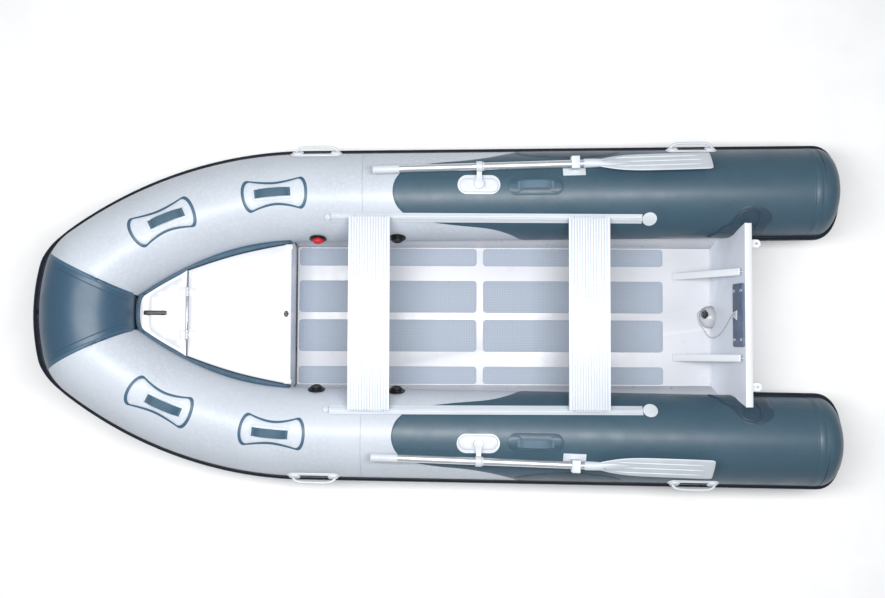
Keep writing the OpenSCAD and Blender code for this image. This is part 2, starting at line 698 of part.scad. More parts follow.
// ---- Rowlocks and oars ----
stem_r = 7;
stem_fit = 0.05;
base_z = tube_z + tube_r - 2;
base_drop = 12;
module rowlock_bases() {
    color("white") both() difference() {
        translate([rowlock_x, rowlock_y, base_z]) {
            translate([0, 0, -base_drop]) linear_extrude(base_drop + 6) round_rect(206, 92, 45.9);
            translate([0, 0, 6]) cylinder(h = 8, r = 34);
            translate([0, 0, 14]) cylinder(h = 12, r = 24);
        }
        translate([rowlock_x, rowlock_y, base_z + 5.5]) cylinder(h = 22, r = stem_r + stem_fit);
        translate([rowlock_x, side_y(rowlock_x), tube_z]) rotate([0, 0, -splay]) translate([-200, 0, 0])
            rotate([0, 90, 0]) cylinder(h = 400, r = tube_r + 0.5);
    }
}
// Line of the stowed oar: level, closing slightly towards the bow
oar_y = 700.8;
oar_toe = 2;
module on_oar() translate([rowlock_x, oar_y, oar_z]) rotate([0, 0, -oar_toe]) children();
module rowlock() {
    color("white") {
        translate([rowlock_x, rowlock_y, base_z + 6.5]) cylinder(h = 28, r = stem_r);
        translate([rowlock_x, rowlock_y, base_z + 26.5]) cylinder(h = 10, r = 22);
        difference() {
            union() {
                translate([rowlock_x, rowlock_y, base_z + 28]) linear_extrude(8)
                    polygon([[-15, 0], [15, 0], [10, 64], [-12, 64]]);
                on_oar() translate([-14, 0, 0]) rotate([0, 90, 0]) cylinder(h = 28, r = 25);
            }
            on_oar() translate([-40, 0, 0]) rotate([0, 90, 0]) cylinder(h = 80, r = oar_d / 2 + 0.05);
        }
    }
}
module rowlock_port() rowlock();
module rowlock_starboard() mirror([0, 1, 0]) rowlock();

shaft_x0 = -600;
shaft_x1 = 500;
grip_l = 128;
blade_x0 = -1116;
blade_x1 = -500;
blade_roll = -50;
module oar_shaft() {
    color("silver") on_oar() translate([shaft_x0, 0, 0]) rotate([0, 90, 0]) difference() {
        cylinder(h = shaft_x1 - shaft_x0, r = oar_d / 2);
        translate([0, 0, -1]) cylinder(h = shaft_x1 - shaft_x0 + 2, r = oar_d / 2 - 1.5);
    }
}
module oar_grip() {
    color("white") on_oar() translate([shaft_x1 - grip_l + 10, 0, 0]) rotate([0, 90, 0]) difference() {
        union() {
            cylinder(h = grip_l, r = oar_d / 2 + 2.5);
            translate([0, 0, grip_l - 6]) cylinder(h = 6, r = oar_d / 2 + 5);
        }
        translate([0, 0, -1]) cylinder(h = grip_l - 9, r = oar_d / 2 + 0.05);
    }
}
module oar_blade() {
    color("gainsboro") on_oar() rotate([blade_roll, 0, 0]) difference() {
        union() {
            translate([blade_x1 - 110, 0, 0]) rotate([0, 90, 0]) cylinder(h = 110, r = oar_d / 2 + 4);
            translate([0, 0, -3]) linear_extrude(6)
                polygon([[blade_x1 - 60, 24], [blade_x1 - 60, -24], [blade_x1 - 170, -62],
                    [blade_x1 - 300, -74], [blade_x0 + 32, -76], [blade_x0 + 10, -64], [blade_x0, 62],
                    [blade_x0 + 20, 74], [blade_x1 - 300, 74], [blade_x1 - 170, 62]]);
            for (v = [-40, 0, 40]) translate([blade_x0 + 50, v - 4, -7]) cube([430, 8, 14]);
        }
        translate([blade_x1 - 100.1, 0, 0]) rotate([0, 90, 0]) cylinder(h = 110, r = oar_d / 2 + 0.05);
    }
}
module oar_shaft_port() oar_shaft();
module oar_shaft_starboard() mirror([0, 1, 0]) oar_shaft();
module oar_grip_port() oar_grip();
module oar_grip_starboard() mirror([0, 1, 0]) oar_grip();
module oar_blade_port() oar_blade();
module oar_blade_starboard() mirror([0, 1, 0]) oar_blade();

// Oar clips: a C open to the outside, on a foot on the tube's shoulder
clip_u = -460;
foot_tilt = 22;
module oar_clips() {
    slot = oar_d / 2 + 0.4;
    color("slategray") both() on_oar() {
        translate([clip_u - 20, 0, 0]) rotate([90, 0, 90]) linear_extrude(40)
            polygon([[-slot - 7, -slot - 5], [slot + 14, -slot - 5], [slot + 18, -slot], [-slot, -slot],
                [-slot, slot], [slot + 18, slot], [slot + 14, slot + 5], [-slot - 7, slot + 5]]);
        translate([clip_u - 20, -slot - 7, -54]) cube([40, 7, 54 - slot]);
        translate([clip_u - 55, -32, -53]) rotate([-foot_tilt, 0, 0]) translate([0, -20, 0])
            cube([110, 40, 7]);
    }
}

hull_shell();
keel_strip();
hull_frames();
floor_deck();
floor_pads();
transom_plate();
transom_knees();
motor_pad_inner();
motor_pad_outer();
drain_well();
drain_plug();
drain_lanyard();
lanyard_tab();
towing_eyes();
bow_eye();
nose_tube();
bow_tube_port();
bow_tube_starboard();
side_tube_port();
side_tube_starboard();
stern_cones();
tube_baffles();
strake_nose();
strake_port();
strake_starboard();
locker_box();
foredeck();
deck_edging();
bow_cleat();
hinge_leaf_deck();
hinge_pin();
hinge_leaf_lid();
locker_lid();
latch_turn();
latch_keeper();
seat_tracks();
track_caps();
bench_fore();
bench_fore_sliders();
bench_aft();
bench_aft_sliders();
valve_bodies();
valve_cap_1();
valve_cap_2();
valve_cap_3();
valve_cap_4();
bow_strap_handles();
side_strap_handles();
carry_handles();
rowlock_bases();
rowlock_port();
rowlock_starboard();
oar_shaft_port();
oar_shaft_starboard();
oar_grip_port();
oar_grip_starboard();
oar_blade_port();
oar_blade_starboard();
oar_clips();
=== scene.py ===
import json
import math
from contextlib import contextmanager

import bmesh
import bpy
from mathutils import Matrix, Vector
from mathutils.geometry import delaunay_2d_cdt


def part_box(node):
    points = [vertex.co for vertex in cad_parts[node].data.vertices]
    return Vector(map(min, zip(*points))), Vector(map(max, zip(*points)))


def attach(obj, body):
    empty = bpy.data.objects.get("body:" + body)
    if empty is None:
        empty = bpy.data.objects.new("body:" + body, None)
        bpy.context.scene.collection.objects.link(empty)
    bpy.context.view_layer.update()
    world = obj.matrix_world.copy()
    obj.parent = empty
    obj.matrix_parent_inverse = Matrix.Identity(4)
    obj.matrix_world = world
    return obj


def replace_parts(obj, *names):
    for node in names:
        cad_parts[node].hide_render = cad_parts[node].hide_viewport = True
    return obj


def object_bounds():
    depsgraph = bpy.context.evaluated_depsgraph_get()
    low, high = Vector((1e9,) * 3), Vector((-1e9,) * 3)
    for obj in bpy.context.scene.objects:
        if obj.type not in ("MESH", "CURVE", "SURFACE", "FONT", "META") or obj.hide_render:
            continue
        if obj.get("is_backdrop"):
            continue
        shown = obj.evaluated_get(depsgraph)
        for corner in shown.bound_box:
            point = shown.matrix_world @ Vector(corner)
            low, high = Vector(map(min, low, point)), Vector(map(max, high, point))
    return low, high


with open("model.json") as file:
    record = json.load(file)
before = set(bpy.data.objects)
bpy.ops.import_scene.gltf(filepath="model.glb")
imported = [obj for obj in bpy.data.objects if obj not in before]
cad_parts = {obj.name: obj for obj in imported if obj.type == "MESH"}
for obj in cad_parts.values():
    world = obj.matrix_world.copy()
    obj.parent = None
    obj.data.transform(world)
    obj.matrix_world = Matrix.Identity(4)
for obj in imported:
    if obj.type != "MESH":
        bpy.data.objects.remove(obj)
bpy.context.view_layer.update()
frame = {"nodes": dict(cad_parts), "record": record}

# ---------------------------------------------------------------- camera
LENS_MM = 41.74
EYE = Vector((0.0, 0.19, 5.48))
TILT = math.radians(2.6)
ROLL = math.radians(0.25)
SHIFT = 0.0082


def placed(name, data):
    """New object in the scene."""
    thing = bpy.data.objects.new(name, data)
    bpy.context.scene.collection.objects.link(thing)
    return thing


def make_camera():
    data = bpy.data.cameras.new("camera")
    data.lens = LENS_MM
    data.sensor_width = 36.0
    data.shift_y = SHIFT
    data.clip_end = 200.0
    camera = placed("camera", data)
    turn = Matrix.Rotation(math.pi + ROLL, 4, "Z") @ Matrix.Rotation(TILT, 4, "X")
    camera.matrix_world = Matrix.Translation(EYE) @ turn
    bpy.context.scene.camera = camera


make_camera()

# ---------------------------------------------------------------- sizes, from the frame
HULL = "hull"
tube_low, tube_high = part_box("side_tube_port")
TUBE_R = (tube_high[2] - tube_low[2]) / 2
TUBE_Z = (tube_high[2] + tube_low[2]) / 2
CONE_X = tube_low[0]
FLOOR_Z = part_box("floor_pads")[0][2]
CONE_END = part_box("stern_cones")[0][0]

# The tube's centreline in plan, nose to side: three arcs and a straight that opens aft
NOSE_X = 1.724
NOSE_R = 0.795
CORNER_R = 0.090
NOSE_TURN = math.radians(12)
CORNER_TURN = math.radians(50)
SEAM_TURN = math.radians(26)
SPLAY = math.radians(0.85)
SIDE_Y = 0.583
SHEER_X = 0.700
BOW_RISE = 0.150
SIDE_TURN = math.pi / 2 - SPLAY


def polar(r, a):
    return Vector((r * math.cos(a), r * math.sin(a)))


NOSE_C = Vector((NOSE_X - NOSE_R, 0.0))
CORNER_C = NOSE_C + polar(NOSE_R - CORNER_R, NOSE_TURN)
BOW_START = CORNER_C + polar(CORNER_R, CORNER_TURN)
BOW_R = (SIDE_Y - BOW_START.y) / (math.sin(SIDE_TURN) - math.sin(CORNER_TURN))
BOW_C = BOW_START - polar(BOW_R, CORNER_TURN)
STRAIGHT_X = BOW_C.x + BOW_R * math.cos(SIDE_TURN)

# Distance along the centreline, zero where the bow curve meets the straight, forward positive
S_CORNER = BOW_R * (SIDE_TURN - CORNER_TURN)
S_NOSE = S_CORNER + CORNER_R * (CORNER_TURN - NOSE_TURN)
S_END = S_NOSE + NOSE_R * NOSE_TURN


def side_y(x):
    """Half distance between the centrelines of the straight tubes at x."""
    return SIDE_Y + (STRAIGHT_X - x) * math.tan(SPLAY)


def sheer(x):
    """Height of the tube's centreline at x."""
    return TUBE_Z + BOW_RISE * max(0.0, (x - SHEER_X) / (NOSE_X - SHEER_X)) ** 2


def tube_at(x):
    """Section of the port tube at x: its centre in y and z, and how much the slant widens it."""
    if x < STRAIGHT_X:
        return side_y(x), TUBE_Z, 1.0
    a = math.acos((x - BOW_C.x) / BOW_R)
    return BOW_C.y + BOW_R * math.sin(a), sheer(x), 1 / math.sin(a)


def s_at(x):
    """Distance along the port tube at x, on its straight."""
    return (x - STRAIGHT_X) / math.cos(SPLAY)


def station(s):
    """Centre of the port tube at a distance s along it, and the plan angle of its outward normal."""
    if s <= 0:
        x = STRAIGHT_X + s * math.cos(SPLAY)
        return Vector((x, SIDE_Y - s * math.sin(SPLAY), TUBE_Z)), SIDE_TURN
    if s <= S_CORNER:
        a = SIDE_TURN - s / BOW_R
        p = BOW_C + polar(BOW_R, a)
    elif s <= S_NOSE:
        a = CORNER_TURN - (s - S_CORNER) / CORNER_R
        p = CORNER_C + polar(CORNER_R, a)
    elif s <= S_END:
        a = NOSE_TURN - (s - S_NOSE) / NOSE_R
        p = NOSE_C + polar(NOSE_R, a)
    else:
        c, a = station(2 * S_END - s)
        return Vector((c.x, -c.y, c.z)), -a
    return Vector((p.x, p.y, sheer(p.x))), a


def skin(s, up, lift=0.0):
    """Point on the port tube: up is the angle round it, 0 outboard, 90 degrees on top."""
    c, a = station(s)
    r = TUBE_R + lift
    return c + Vector((r * math.cos(up) * math.cos(a), r * math.cos(up) * math.sin(a), r * math.sin(up)))


def on_plan(x, y):
    """Distance along the port tube and angle round it of the point of its upper skin at x, y."""
    if x < STRAIGHT_X:
        s = s_at(x)
        out = (y - (SIDE_Y - s * math.sin(SPLAY))) * math.cos(SPLAY)
    else:
        away = Vector((x, y)) - BOW_C
        s = BOW_R * (SIDE_TURN - math.atan2(away.y, away.x))
        out = away.length - BOW_R
    return s, math.acos(max(-0.995, min(0.995, out / TUBE_R)))


# ---------------------------------------------------------------- mesh helpers
SIDES = {"port": 1, "starboard": -1}


def finish_piece(name, verts, faces, material, body=HULL, side=1, uvs=None):
    """Mesh object from lists, mirrored to starboard if side is -1, riding on its body."""
    if side < 0:
        verts = [(v[0], -v[1], v[2]) for v in verts]
        faces = [tuple(reversed(f)) for f in faces]
    mesh = bpy.data.meshes.new(name)
    mesh.from_pydata([tuple(v) for v in verts], [], faces)
    if uvs:
        layer = mesh.uv_layers.new(name="skin")
        for loop in mesh.loops:
            layer.data[loop.index].uv = uvs[loop.vertex_index]
    mesh.update()
    mesh.shade_smooth()
    mesh.materials.append(material)
    piece = placed(name, mesh)
    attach(piece, body)
    return piece


@contextmanager
def edited(mesh):
    """The mesh opened for editing, and written back afterwards."""
    work = bmesh.new()
    work.from_mesh(mesh)
    yield work
    work.to_mesh(mesh)
    work.free()


def modify(piece, kind, **settings):
    modifier = piece.modifiers.new(kind.lower(), kind)
    for key, value in settings.items():
        setattr(modifier, key, value)
    return modifier


def loft(name, rings, material, body=HULL, side=1, closed=True, caps=True, uvs=None, loop=False):
    """Surface through rings of equal length."""
    n = len(rings[0])
    verts = [p for ring in rings for p in ring]
    faces = []
    last = len(rings) if loop else len(rings) - 1
    for k in range(last):
        near, far = k * n, ((k + 1) % len(rings)) * n
        for i in range(n if closed else n - 1):
            j = (i + 1) % n
            faces.append((near + i, near + j, far + j, far + i))
    if caps and closed and not loop:
        faces.append(tuple(reversed(range(n))))
        faces.append(tuple(range(len(verts) - n, len(verts))))
    return finish_piece(name, verts, faces, material, body, side, uvs)


def frames_along(path, up=Vector((0, 0, 1))):
    """A tangent, side and upright direction at each point of a path."""
    result = []
    for k, p in enumerate(path):
        ahead = path[min(k + 1, len(path) - 1)] - path[max(k - 1, 0)]
        tangent = ahead.normalized()
        across = tangent.cross(up)
        if across.length < 1e-4:
            across = tangent.cross(Vector((0, 1, 0)))
        across.normalize()
        result.append((p, tangent, across, across.cross(tangent)))
    return result


def sweep(name, path, form, material, body=HULL, side=1, up=Vector((0, 0, 1)), loop=False):
    """Outline form, as (across, upright) pairs, carried along a path."""
    rings = [[p + a * f[0] + u * f[1] for f in form] for p, t, a, u in frames_along(path, up)]
    return loft(name, rings, material, body, side, loop=loop)


def turns(n):
    """n angles, evenly once round."""
    return [2 * math.pi * i / n for i in range(n)]


def circle_form(r, n=12):
    return [(r * math.cos(a), r * math.sin(a)) for a in turns(n)]


def oval(x, y, rx, ry, n=24):
    """Oval outline about a point."""
    return [(x + rx * math.cos(a), y + ry * math.sin(a)) for a in turns(n)]


def round_form(w, h, r, n=4):
    """Rounded rectangle w by h as an outline, anticlockwise."""
    points = []
    for k, (cx, cy) in enumerate(((1, 1), (-1, 1), (-1, -1), (1, -1))):
        for i in range(n + 1):
            a = math.pi / 2 * (k + i / n)
            points.append((cx * (w / 2 - r) + r * math.cos(a), cy * (h / 2 - r) + r * math.sin(a)))
    return points


def plate_form(x, y, w, h, r, n=4):
    """Rounded rectangle about a point."""
    return [(x + a, y + b) for a, b in round_form(w, h, r, n)]


def spline(points, steps=8, closed=True):
    """Catmull-Rom curve through points of any dimension, as tuples."""
    n = len(points)
    result = []
    spans = n if closed else n - 1
    for k in range(spans):
        if closed:
            a, b, c, d = (points[(k + i - 1) % n] for i in range(4))
        else:
            a, b, c, d = (points[min(max(k + i - 1, 0), n - 1)] for i in range(4))
        for i in range(steps):
            t = i / steps
            result.append(tuple(0.5 * (2 * q + (r - p) * t + (2 * p - 5 * q + 4 * r - w) * t * t
                                       + (3 * q - p - 3 * r + w) * t ** 3)
                                for p, q, r, w in zip(a, b, c, d)))
    if not closed:
        result.append(tuple(points[-1]))
    return result


def inside(point, outline):
    hit = False
    x, y = point
    for (x0, y0), (x1, y1) in zip(outline, outline[1:] + outline[:1]):
        if (y0 > y) != (y1 > y) and x < (x1 - x0) * (y - y0) / (y1 - y0) + x0:
            hit = not hit
    return hit


def near_edge(point, outline, gap):
    p = Vector(point)
    for a, b in zip(outline, outline[1:] + outline[:1]):
        a, b = Vector(a), Vector(b)
        along = b - a
        t = max(0.0, min(1.0, (p - a).dot(along) / max(along.length_squared, 1e-12)))
        if (a + along * t - p).length < gap:
            return True
    return False


def fill(outline, pitch):
    """Triangles that fill a closed plan outline, with inner points on a grid."""
    xs = [p[0] for p in outline]
    ys = [p[1] for p in outline]
    inner = []
    for i in range(int((max(xs) - min(xs)) / pitch) + 1):
        for j in range(int((max(ys) - min(ys)) / pitch) + 1):
            q = (min(xs) + (i + 0.5) * pitch, min(ys) + (j + 0.5) * pitch)
            if inside(q, outline) and not near_edge(q, outline, pitch * 0.45):
                inner.append(q)
    points = [Vector(p) for p in outline + inner]
    n = len(outline)
    edges = [(i, (i + 1) % n) for i in range(n)]
    done = delaunay_2d_cdt(points, edges, [tuple(range(n))], 1, 1e-6)
    return [tuple(p) for p in done[0]], [tuple(f) for f in done[2]], n


def patch(name, outline, lift, thick, material, side=1, pitch=0.018, shape=None, hem=None, body=HULL):
    """Glued sheet with edges rounded down. Its outline is in (distance along the tube, girth), or in
    whatever plane the function shape places."""
    place = shape or (lambda u, v, h: skin(u, v / TUBE_R, h))
    flat, faces, n = fill(outline, pitch)
    verts = [place(u, v, lift + thick) for u, v in flat]
    area = sum(a[0] * b[1] - b[0] * a[1] for a, b in zip(outline, outline[1:] + outline[:1]))
    centre = [sum(p[i] for p in outline) / len(outline) for i in (0, 1)]
    step = thick * 0.8
    rims = []
    for drop, grow in ((0.25, 0.5), (1.0, 1.0), (1.0, None)):
        ring = []
        for k in range(n):
            (x0, y0), (x1, y1) = outline[k - 1], outline[(k + 1) % n]
            out = Vector((y1 - y0, x0 - x1)).normalized() * (1 if area > 0 else -1)
            g = step * (grow or 1.0)
            h = lift + thick * (1 - drop) - (0.0006 if grow is None else 0.0)
            verts.append(place(outline[k][0] + out.x * g, outline[k][1] + out.y * g, h))
            ring.append(len(verts) - 1)
        rims.append(ring)
    upward = (verts[faces[0][1]] - verts[faces[0][0]]).cross(verts[faces[0][2]] - verts[faces[0][0]])
    outward = place(centre[0], centre[1], 0.05) - place(centre[0], centre[1], 0.0)
    if upward.dot(outward) < 0:
        faces = [tuple(reversed(f)) for f in faces]
    previous = list(range(n))
    flip = (area > 0) != (upward.dot(outward) < 0)
    for ring in rims:
        for k in range(n):
            j = (k + 1) % n
            if hem and not hem(outline[k], outline[j]):
                continue
            quad = (previous[k], ring[k], ring[j], previous[j])
            faces.append(quad if flip else tuple(reversed(quad)))
        previous = ring
    uvs = [(p[0], p[1]) for p in flat] + [outline[k] for _ in rims for k in range(n)]
    return finish_piece(name, verts, faces, material, body, side, uvs)


def softened(node, material, width=0.0015, segments=2, body=None, angle=40):
    """Copy of a CAD node with its sharp edges rounded, standing for that node."""
    source = frame["nodes"][node]
    mesh = source.data.copy()
    with edited(mesh) as work:
        bmesh.ops.remove_doubles(work, verts=work.verts, dist=1e-5)
        bmesh.ops.dissolve_limit(work, angle_limit=math.radians(1.0), verts=work.verts, edges=work.edges)
    mesh.materials.clear()
    mesh.materials.append(material)
    mesh.shade_smooth()
    piece = placed(node + "_finished", mesh)
    modify(piece, "BEVEL", width=width, segments=segments, limit_method="ANGLE",
           angle_limit=math.radians(angle), harden_normals=True)
    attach(piece, body or owner(node))
    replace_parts(piece, node)
    return piece


def owner(node):
    for body, nodes in frame["record"]["behaviour"]["bodies"].items():
        if node in nodes:
            return body
    return HULL


# ---------------------------------------------------------------- materials
def srgb(r, g, b):
    """Linear colour from eight-bit display values."""
    shares = [c / 255 for c in (r, g, b)]
    return tuple(c / 12.92 if c < 0.04 else ((c + 0.055) / 1.055) ** 2.4 for c in shares) + (1.0,)


class Finish:
    """A principled material whose colour, roughness and bump come from procedural textures."""

    def __init__(self, name, colour, rough, metal=0.0, coat=0.0, sheen=0.0):
        self.made = bpy.data.materials.new(name)
        self.made.use_nodes = True
        self.tree = self.made.node_tree
        self.shader = self.tree.nodes["Principled BSDF"]
        self.shader.inputs["Metallic"].default_value = metal
        self.shader.inputs["Coat Weight"].default_value = coat
        self.shader.inputs["Coat Roughness"].default_value = 0.25
        self.shader.inputs["Sheen Weight"].default_value = sheen
        self.place = self.add("ShaderNodeTexCoord")
        self.colour = colour
        self.rough = rough
        self.tint = None
        self.height = None

    def add(self, kind, **settings):
        node = self.tree.nodes.new(kind)
        for key, value in settings.items():
            setattr(node, key, value)
        return node

    def link(self, a, b):
        self.tree.links.new(a, b)

    def noise(self, scale, detail=3.0, stretch=None):
        node = self.add("ShaderNodeTexNoise")
        node.inputs["Scale"].default_value = scale
        node.inputs["Detail"].default_value = detail
        source = self.place.outputs["Object"]
        if stretch:
            mapping = self.add("ShaderNodeMapping")
            mapping.inputs["Scale"].default_value = stretch
            self.link(source, mapping.inputs["Vector"])
            source = mapping.outputs["Vector"]
        self.link(source, node.inputs["Vector"])
        return node.outputs["Fac"]

    def waves(self, axis, pitch):
        node = self.add("ShaderNodeTexWave", wave_type="BANDS", bands_direction=axis)
        node.inputs["Scale"].default_value = 0.31416 / pitch
        node.inputs["Distortion"].default_value = 0.0
        self.link(self.place.outputs["Object"], node.inputs["Vector"])
        return node.outputs["Fac"]

    def dots(self, pitch):
        node = self.add("ShaderNodeTexVoronoi", feature="F1", distance="EUCLIDEAN")
        node.inputs["Scale"].default_value = 1.0 / pitch
        node.inputs["Randomness"].default_value = 0.0
        self.link(self.place.outputs["Object"], node.inputs["Vector"])
        return node.outputs["Distance"]

    def math(self, operation, a, b):
        node = self.add("ShaderNodeMath", operation=operation)
        for socket, value in zip(node.inputs, (a, b)):
            if isinstance(value, float):
                socket.default_value = value
            else:
                self.link(value, socket)
        return node.outputs["Value"]

    def ramp(self, factor, low, high, first=0.0, last=1.0):
        """Goes from first to last as factor rises from low to high."""
        node = self.add("ShaderNodeMapRange")
        for label, value in (("From Min", low), ("From Max", high), ("To Min", first), ("To Max", last)):
            node.inputs[label].default_value = value
        self.link(factor, node.inputs["Value"])
        return node.outputs["Result"]

    def shade(self, factor, other, low=0.35, high=0.65):
        """Goes from the colour so far to another one as factor rises from low to high."""
        mix = self.add("ShaderNodeMix", data_type="RGBA")
        self.link(self.ramp(factor, low, high), mix.inputs["Factor"])
        if self.tint:
            self.link(self.tint, mix.inputs["A"])
        else:
            mix.inputs["A"].default_value = self.colour
        mix.inputs["B"].default_value = other
        self.tint = mix.outputs["Result"]
        return self

    def bump(self, factor, depth):
        node = self.add("ShaderNodeBump")
        node.inputs["Strength"].default_value = 1.0
        node.inputs["Distance"].default_value = depth
        self.link(factor, node.inputs["Height"])
        if self.height:
            self.link(self.height, node.inputs["Normal"])
        self.height = node.outputs["Normal"]
        return self

    def gloss(self, factor, spread):
        varied = self.ramp(factor, 0.3, 0.7, max(0.02, self.rough - spread), min(1.0, self.rough + spread))
        self.link(varied, self.shader.inputs["Roughness"])
        return self

    def done(self):
        if self.tint:
            self.link(self.tint, self.shader.inputs["Base Color"])
        else:
            self.shader.inputs["Base Color"].default_value = self.colour
        if not self.shader.inputs["Roughness"].is_linked:
            self.shader.inputs["Roughness"].default_value = self.rough
        if self.height:
            self.link(self.height, self.shader.inputs["Normal"])
        return self.made


def scaled(colour, k):
    return tuple(c * k for c in colour[:3]) + (1.0,)


def fabric(name, colour, rough=0.45):
    """Coated boat fabric: faint cloud of tone, a fine cross weave under the coating, uneven gloss."""
    f = Finish(name, colour, rough, coat=0.12)
    f.shade(f.noise(3.2, 4.0), scaled(colour, 0.93))
    f.shade(f.noise(60.0, 2.0), scaled(colour, 1.04), 0.45, 0.75)
    weave = f.math("ADD", f.waves("X", 0.0035), f.waves("DIAGONAL", 0.005))
    f.bump(weave, 0.00007)
    f.bump(f.noise(18.0, 2.0), 0.0005)
    return f.gloss(f.noise(9.0, 3.0), 0.06).done()


def paint(name, colour, rough=0.38, coat=0.15):
    """Powder coat over sheet metal: slight orange peel and faint scuffs."""
    f = Finish(name, colour, rough, coat=coat)
    f.shade(f.noise(5.0, 3.0), scaled(colour, 0.965))
    f.shade(f.noise(220.0, 1.0), scaled(colour, 0.97), 0.55, 0.8)
    f.bump(f.noise(420.0, 1.0), 0.00006)
    f.bump(f.noise(6.0, 2.0), 0.0006)
    return f.gloss(f.noise(14.0, 4.0), 0.07).done()


def plastic(name, colour, rough=0.42, grain=0.00008):
    f = Finish(name, colour, rough)
    f.shade(f.noise(12.0, 3.0), scaled(colour, 0.94))
    f.bump(f.noise(700.0, 1.0), grain)
    f.bump(f.noise(25.0, 2.0), 0.0003)
    return f.gloss(f.noise(30.0, 3.0), 0.07).done()


def rubber(name, colour, rough=0.55):
    f = Finish(name, colour, rough)
    f.shader.inputs["Specular IOR Level"].default_value = 0.25
    f.shade(f.noise(8.0, 4.0), scaled(colour, 0.8))
    f.shade(f.noise(90.0, 2.0), scaled(colour, 1.25), 0.5, 0.8)
    f.bump(f.noise(500.0, 1.0), 0.00012)
    return f.gloss(f.noise(20.0, 3.0), 0.1).done()


def drawn_metal(name, colour, rough, along, lines=0.00005, metal=0.85):
    """Extruded or rolled metal with fine draw lines along one axis."""
    f = Finish(name, colour, rough, metal=metal)
    stretch = tuple(4.0 if axis == along else 420.0 for axis in "XYZ")
    f.shade(f.noise(1.0, 2.0, stretch), scaled(colour, 0.86))
    f.bump(f.noise(1.0, 2.0, stretch), lines)
    return f.gloss(f.noise(7.0, 3.0), 0.06).done()


LIGHT = srgb(184, 191, 200)
SLATE = srgb(54, 80, 95)
NOSE_SLATE = srgb(48, 78, 100)
NAVY = srgb(14, 22, 36)
WHITE = srgb(224, 227, 232)

light_fabric = fabric("light_tube_fabric", LIGHT)
slate_fabric = fabric("slate_tube_fabric", SLATE)
nose_fabric = fabric("nose_slate_fabric", NOSE_SLATE)
seam_fabric = fabric("seam_tape_fabric", srgb(60, 90, 112), 0.5)
edge_fabric = fabric("patch_edging_fabric", srgb(58, 88, 110), 0.5)
pale_fabric = fabric("pale_patch_fabric", srgb(190, 197, 206), 0.5)
patch_fabric = fabric("dark_patch_fabric", srgb(42, 64, 80))
strake_rubber = rubber("strake_rubber", NAVY)
edging_rubber = rubber("deck_edging_rubber", srgb(66, 90, 110))
# near-black rubber finish used only as painted shade, in gaps and in the carry handles' recesses
painted_shade_black = rubber("painted_shade_black", srgb(22, 24, 28))
hull_paint = paint("hull_paint", WHITE)
deck_paint = paint("deck_paint", srgb(200, 202, 208), 0.33, 0.1)
inner_paint = paint("transom_inner_paint", srgb(226, 231, 240), 0.45)
# greyer copy of the white paint, as painted shade on the knees' webs, the welds at their feet and the rowlock
# slot
painted_shade_grey = paint("painted_shade_grey", srgb(192, 200, 212), 0.45)
black_plastic = plastic("black_plastic", srgb(20, 21, 25))
red_plastic = plastic("red_plastic", srgb(206, 32, 40), 0.35)
white_plastic = plastic("white_plastic", srgb(198, 203, 210), 0.35)
grey_plastic = plastic("grey_plastic", srgb(200, 206, 212), 0.4)
blade_plastic = plastic("blade_plastic", srgb(196, 203, 210), 0.38)
slider_plastic = plastic("slider_plastic", srgb(190, 196, 204), 0.45)
wire_steel = drawn_metal("wire_steel", srgb(92, 94, 98), 0.4, "Z")
pin_steel = drawn_metal("pin_steel", srgb(188, 192, 198), 0.28, "Y")
oar_metal = drawn_metal("oar_aluminium", srgb(222, 227, 233), 0.36, "X")
track_metal = drawn_metal("track_aluminium", srgb(205, 211, 218), 0.5, "X", metal=0.2)


def bench_material():
    colour = srgb(198, 203, 210)
    f = Finish("bench_aluminium", colour, 0.4, metal=0.2)
    f.shade(f.noise(1.0, 2.0, (300.0, 3.0, 300.0)), scaled(colour, 0.93))
    f.shade(f.noise(3.0, 2.0), srgb(188, 195, 205), 0.4, 0.7)
    f.bump(f.noise(1.0, 2.0, (420.0, 4.0, 420.0)), 0.00005)
    return f.gloss(f.noise(9.0, 3.0), 0.06).done()


def pad_material():
    """Closed-cell foam with a fine pressed pattern of dots."""
    colour = srgb(168, 177, 190)
    f = Finish("pad_foam", colour, 0.8, sheen=0.1)
    cells = f.dots(0.0085)
    f.shade(cells, srgb(146, 156, 170), 0.30, 0.55)
    f.shade(f.noise(2.2, 3.0), srgb(156, 166, 180), 0.4, 0.7)
    f.bump(cells, 0.0008)
    f.bump(f.noise(300.0, 2.0), 0.0002)
    return f.gloss(f.noise(40.0, 2.0), 0.05).done()


def motor_pad_material():
    colour = srgb(98, 112, 136)
    f = Finish("motor_pad_rubber", colour, 0.6)
    cells = f.dots(0.006)
    f.shade(cells, srgb(84, 97, 120), 0.25, 0.5)
    f.shade(f.noise(14.0, 3.0), srgb(106, 120, 142), 0.4, 0.7)
    f.bump(cells, 0.0006)
    return f.gloss(f.noise(40.0, 2.0), 0.06).done()


def webbing_material(name, colour):
    f = Finish(name, colour, 0.62, sheen=0.15)
    ribs = f.waves("DIAGONAL", 0.0028)
    f.shade(ribs, scaled(colour, 0.78), 0.2, 0.8)
    f.bump(ribs, 0.0005)
    return f.gloss(f.noise(60.0, 2.0), 0.08).done()


bench_metal = bench_material()
pad_foam = pad_material()
motor_pad_rubber = motor_pad_material()
slate_webbing = webbing_material("slate_webbing", srgb(62, 92, 112))
dark_webbing = webbing_material("dark_webbing", srgb(84, 110, 128))

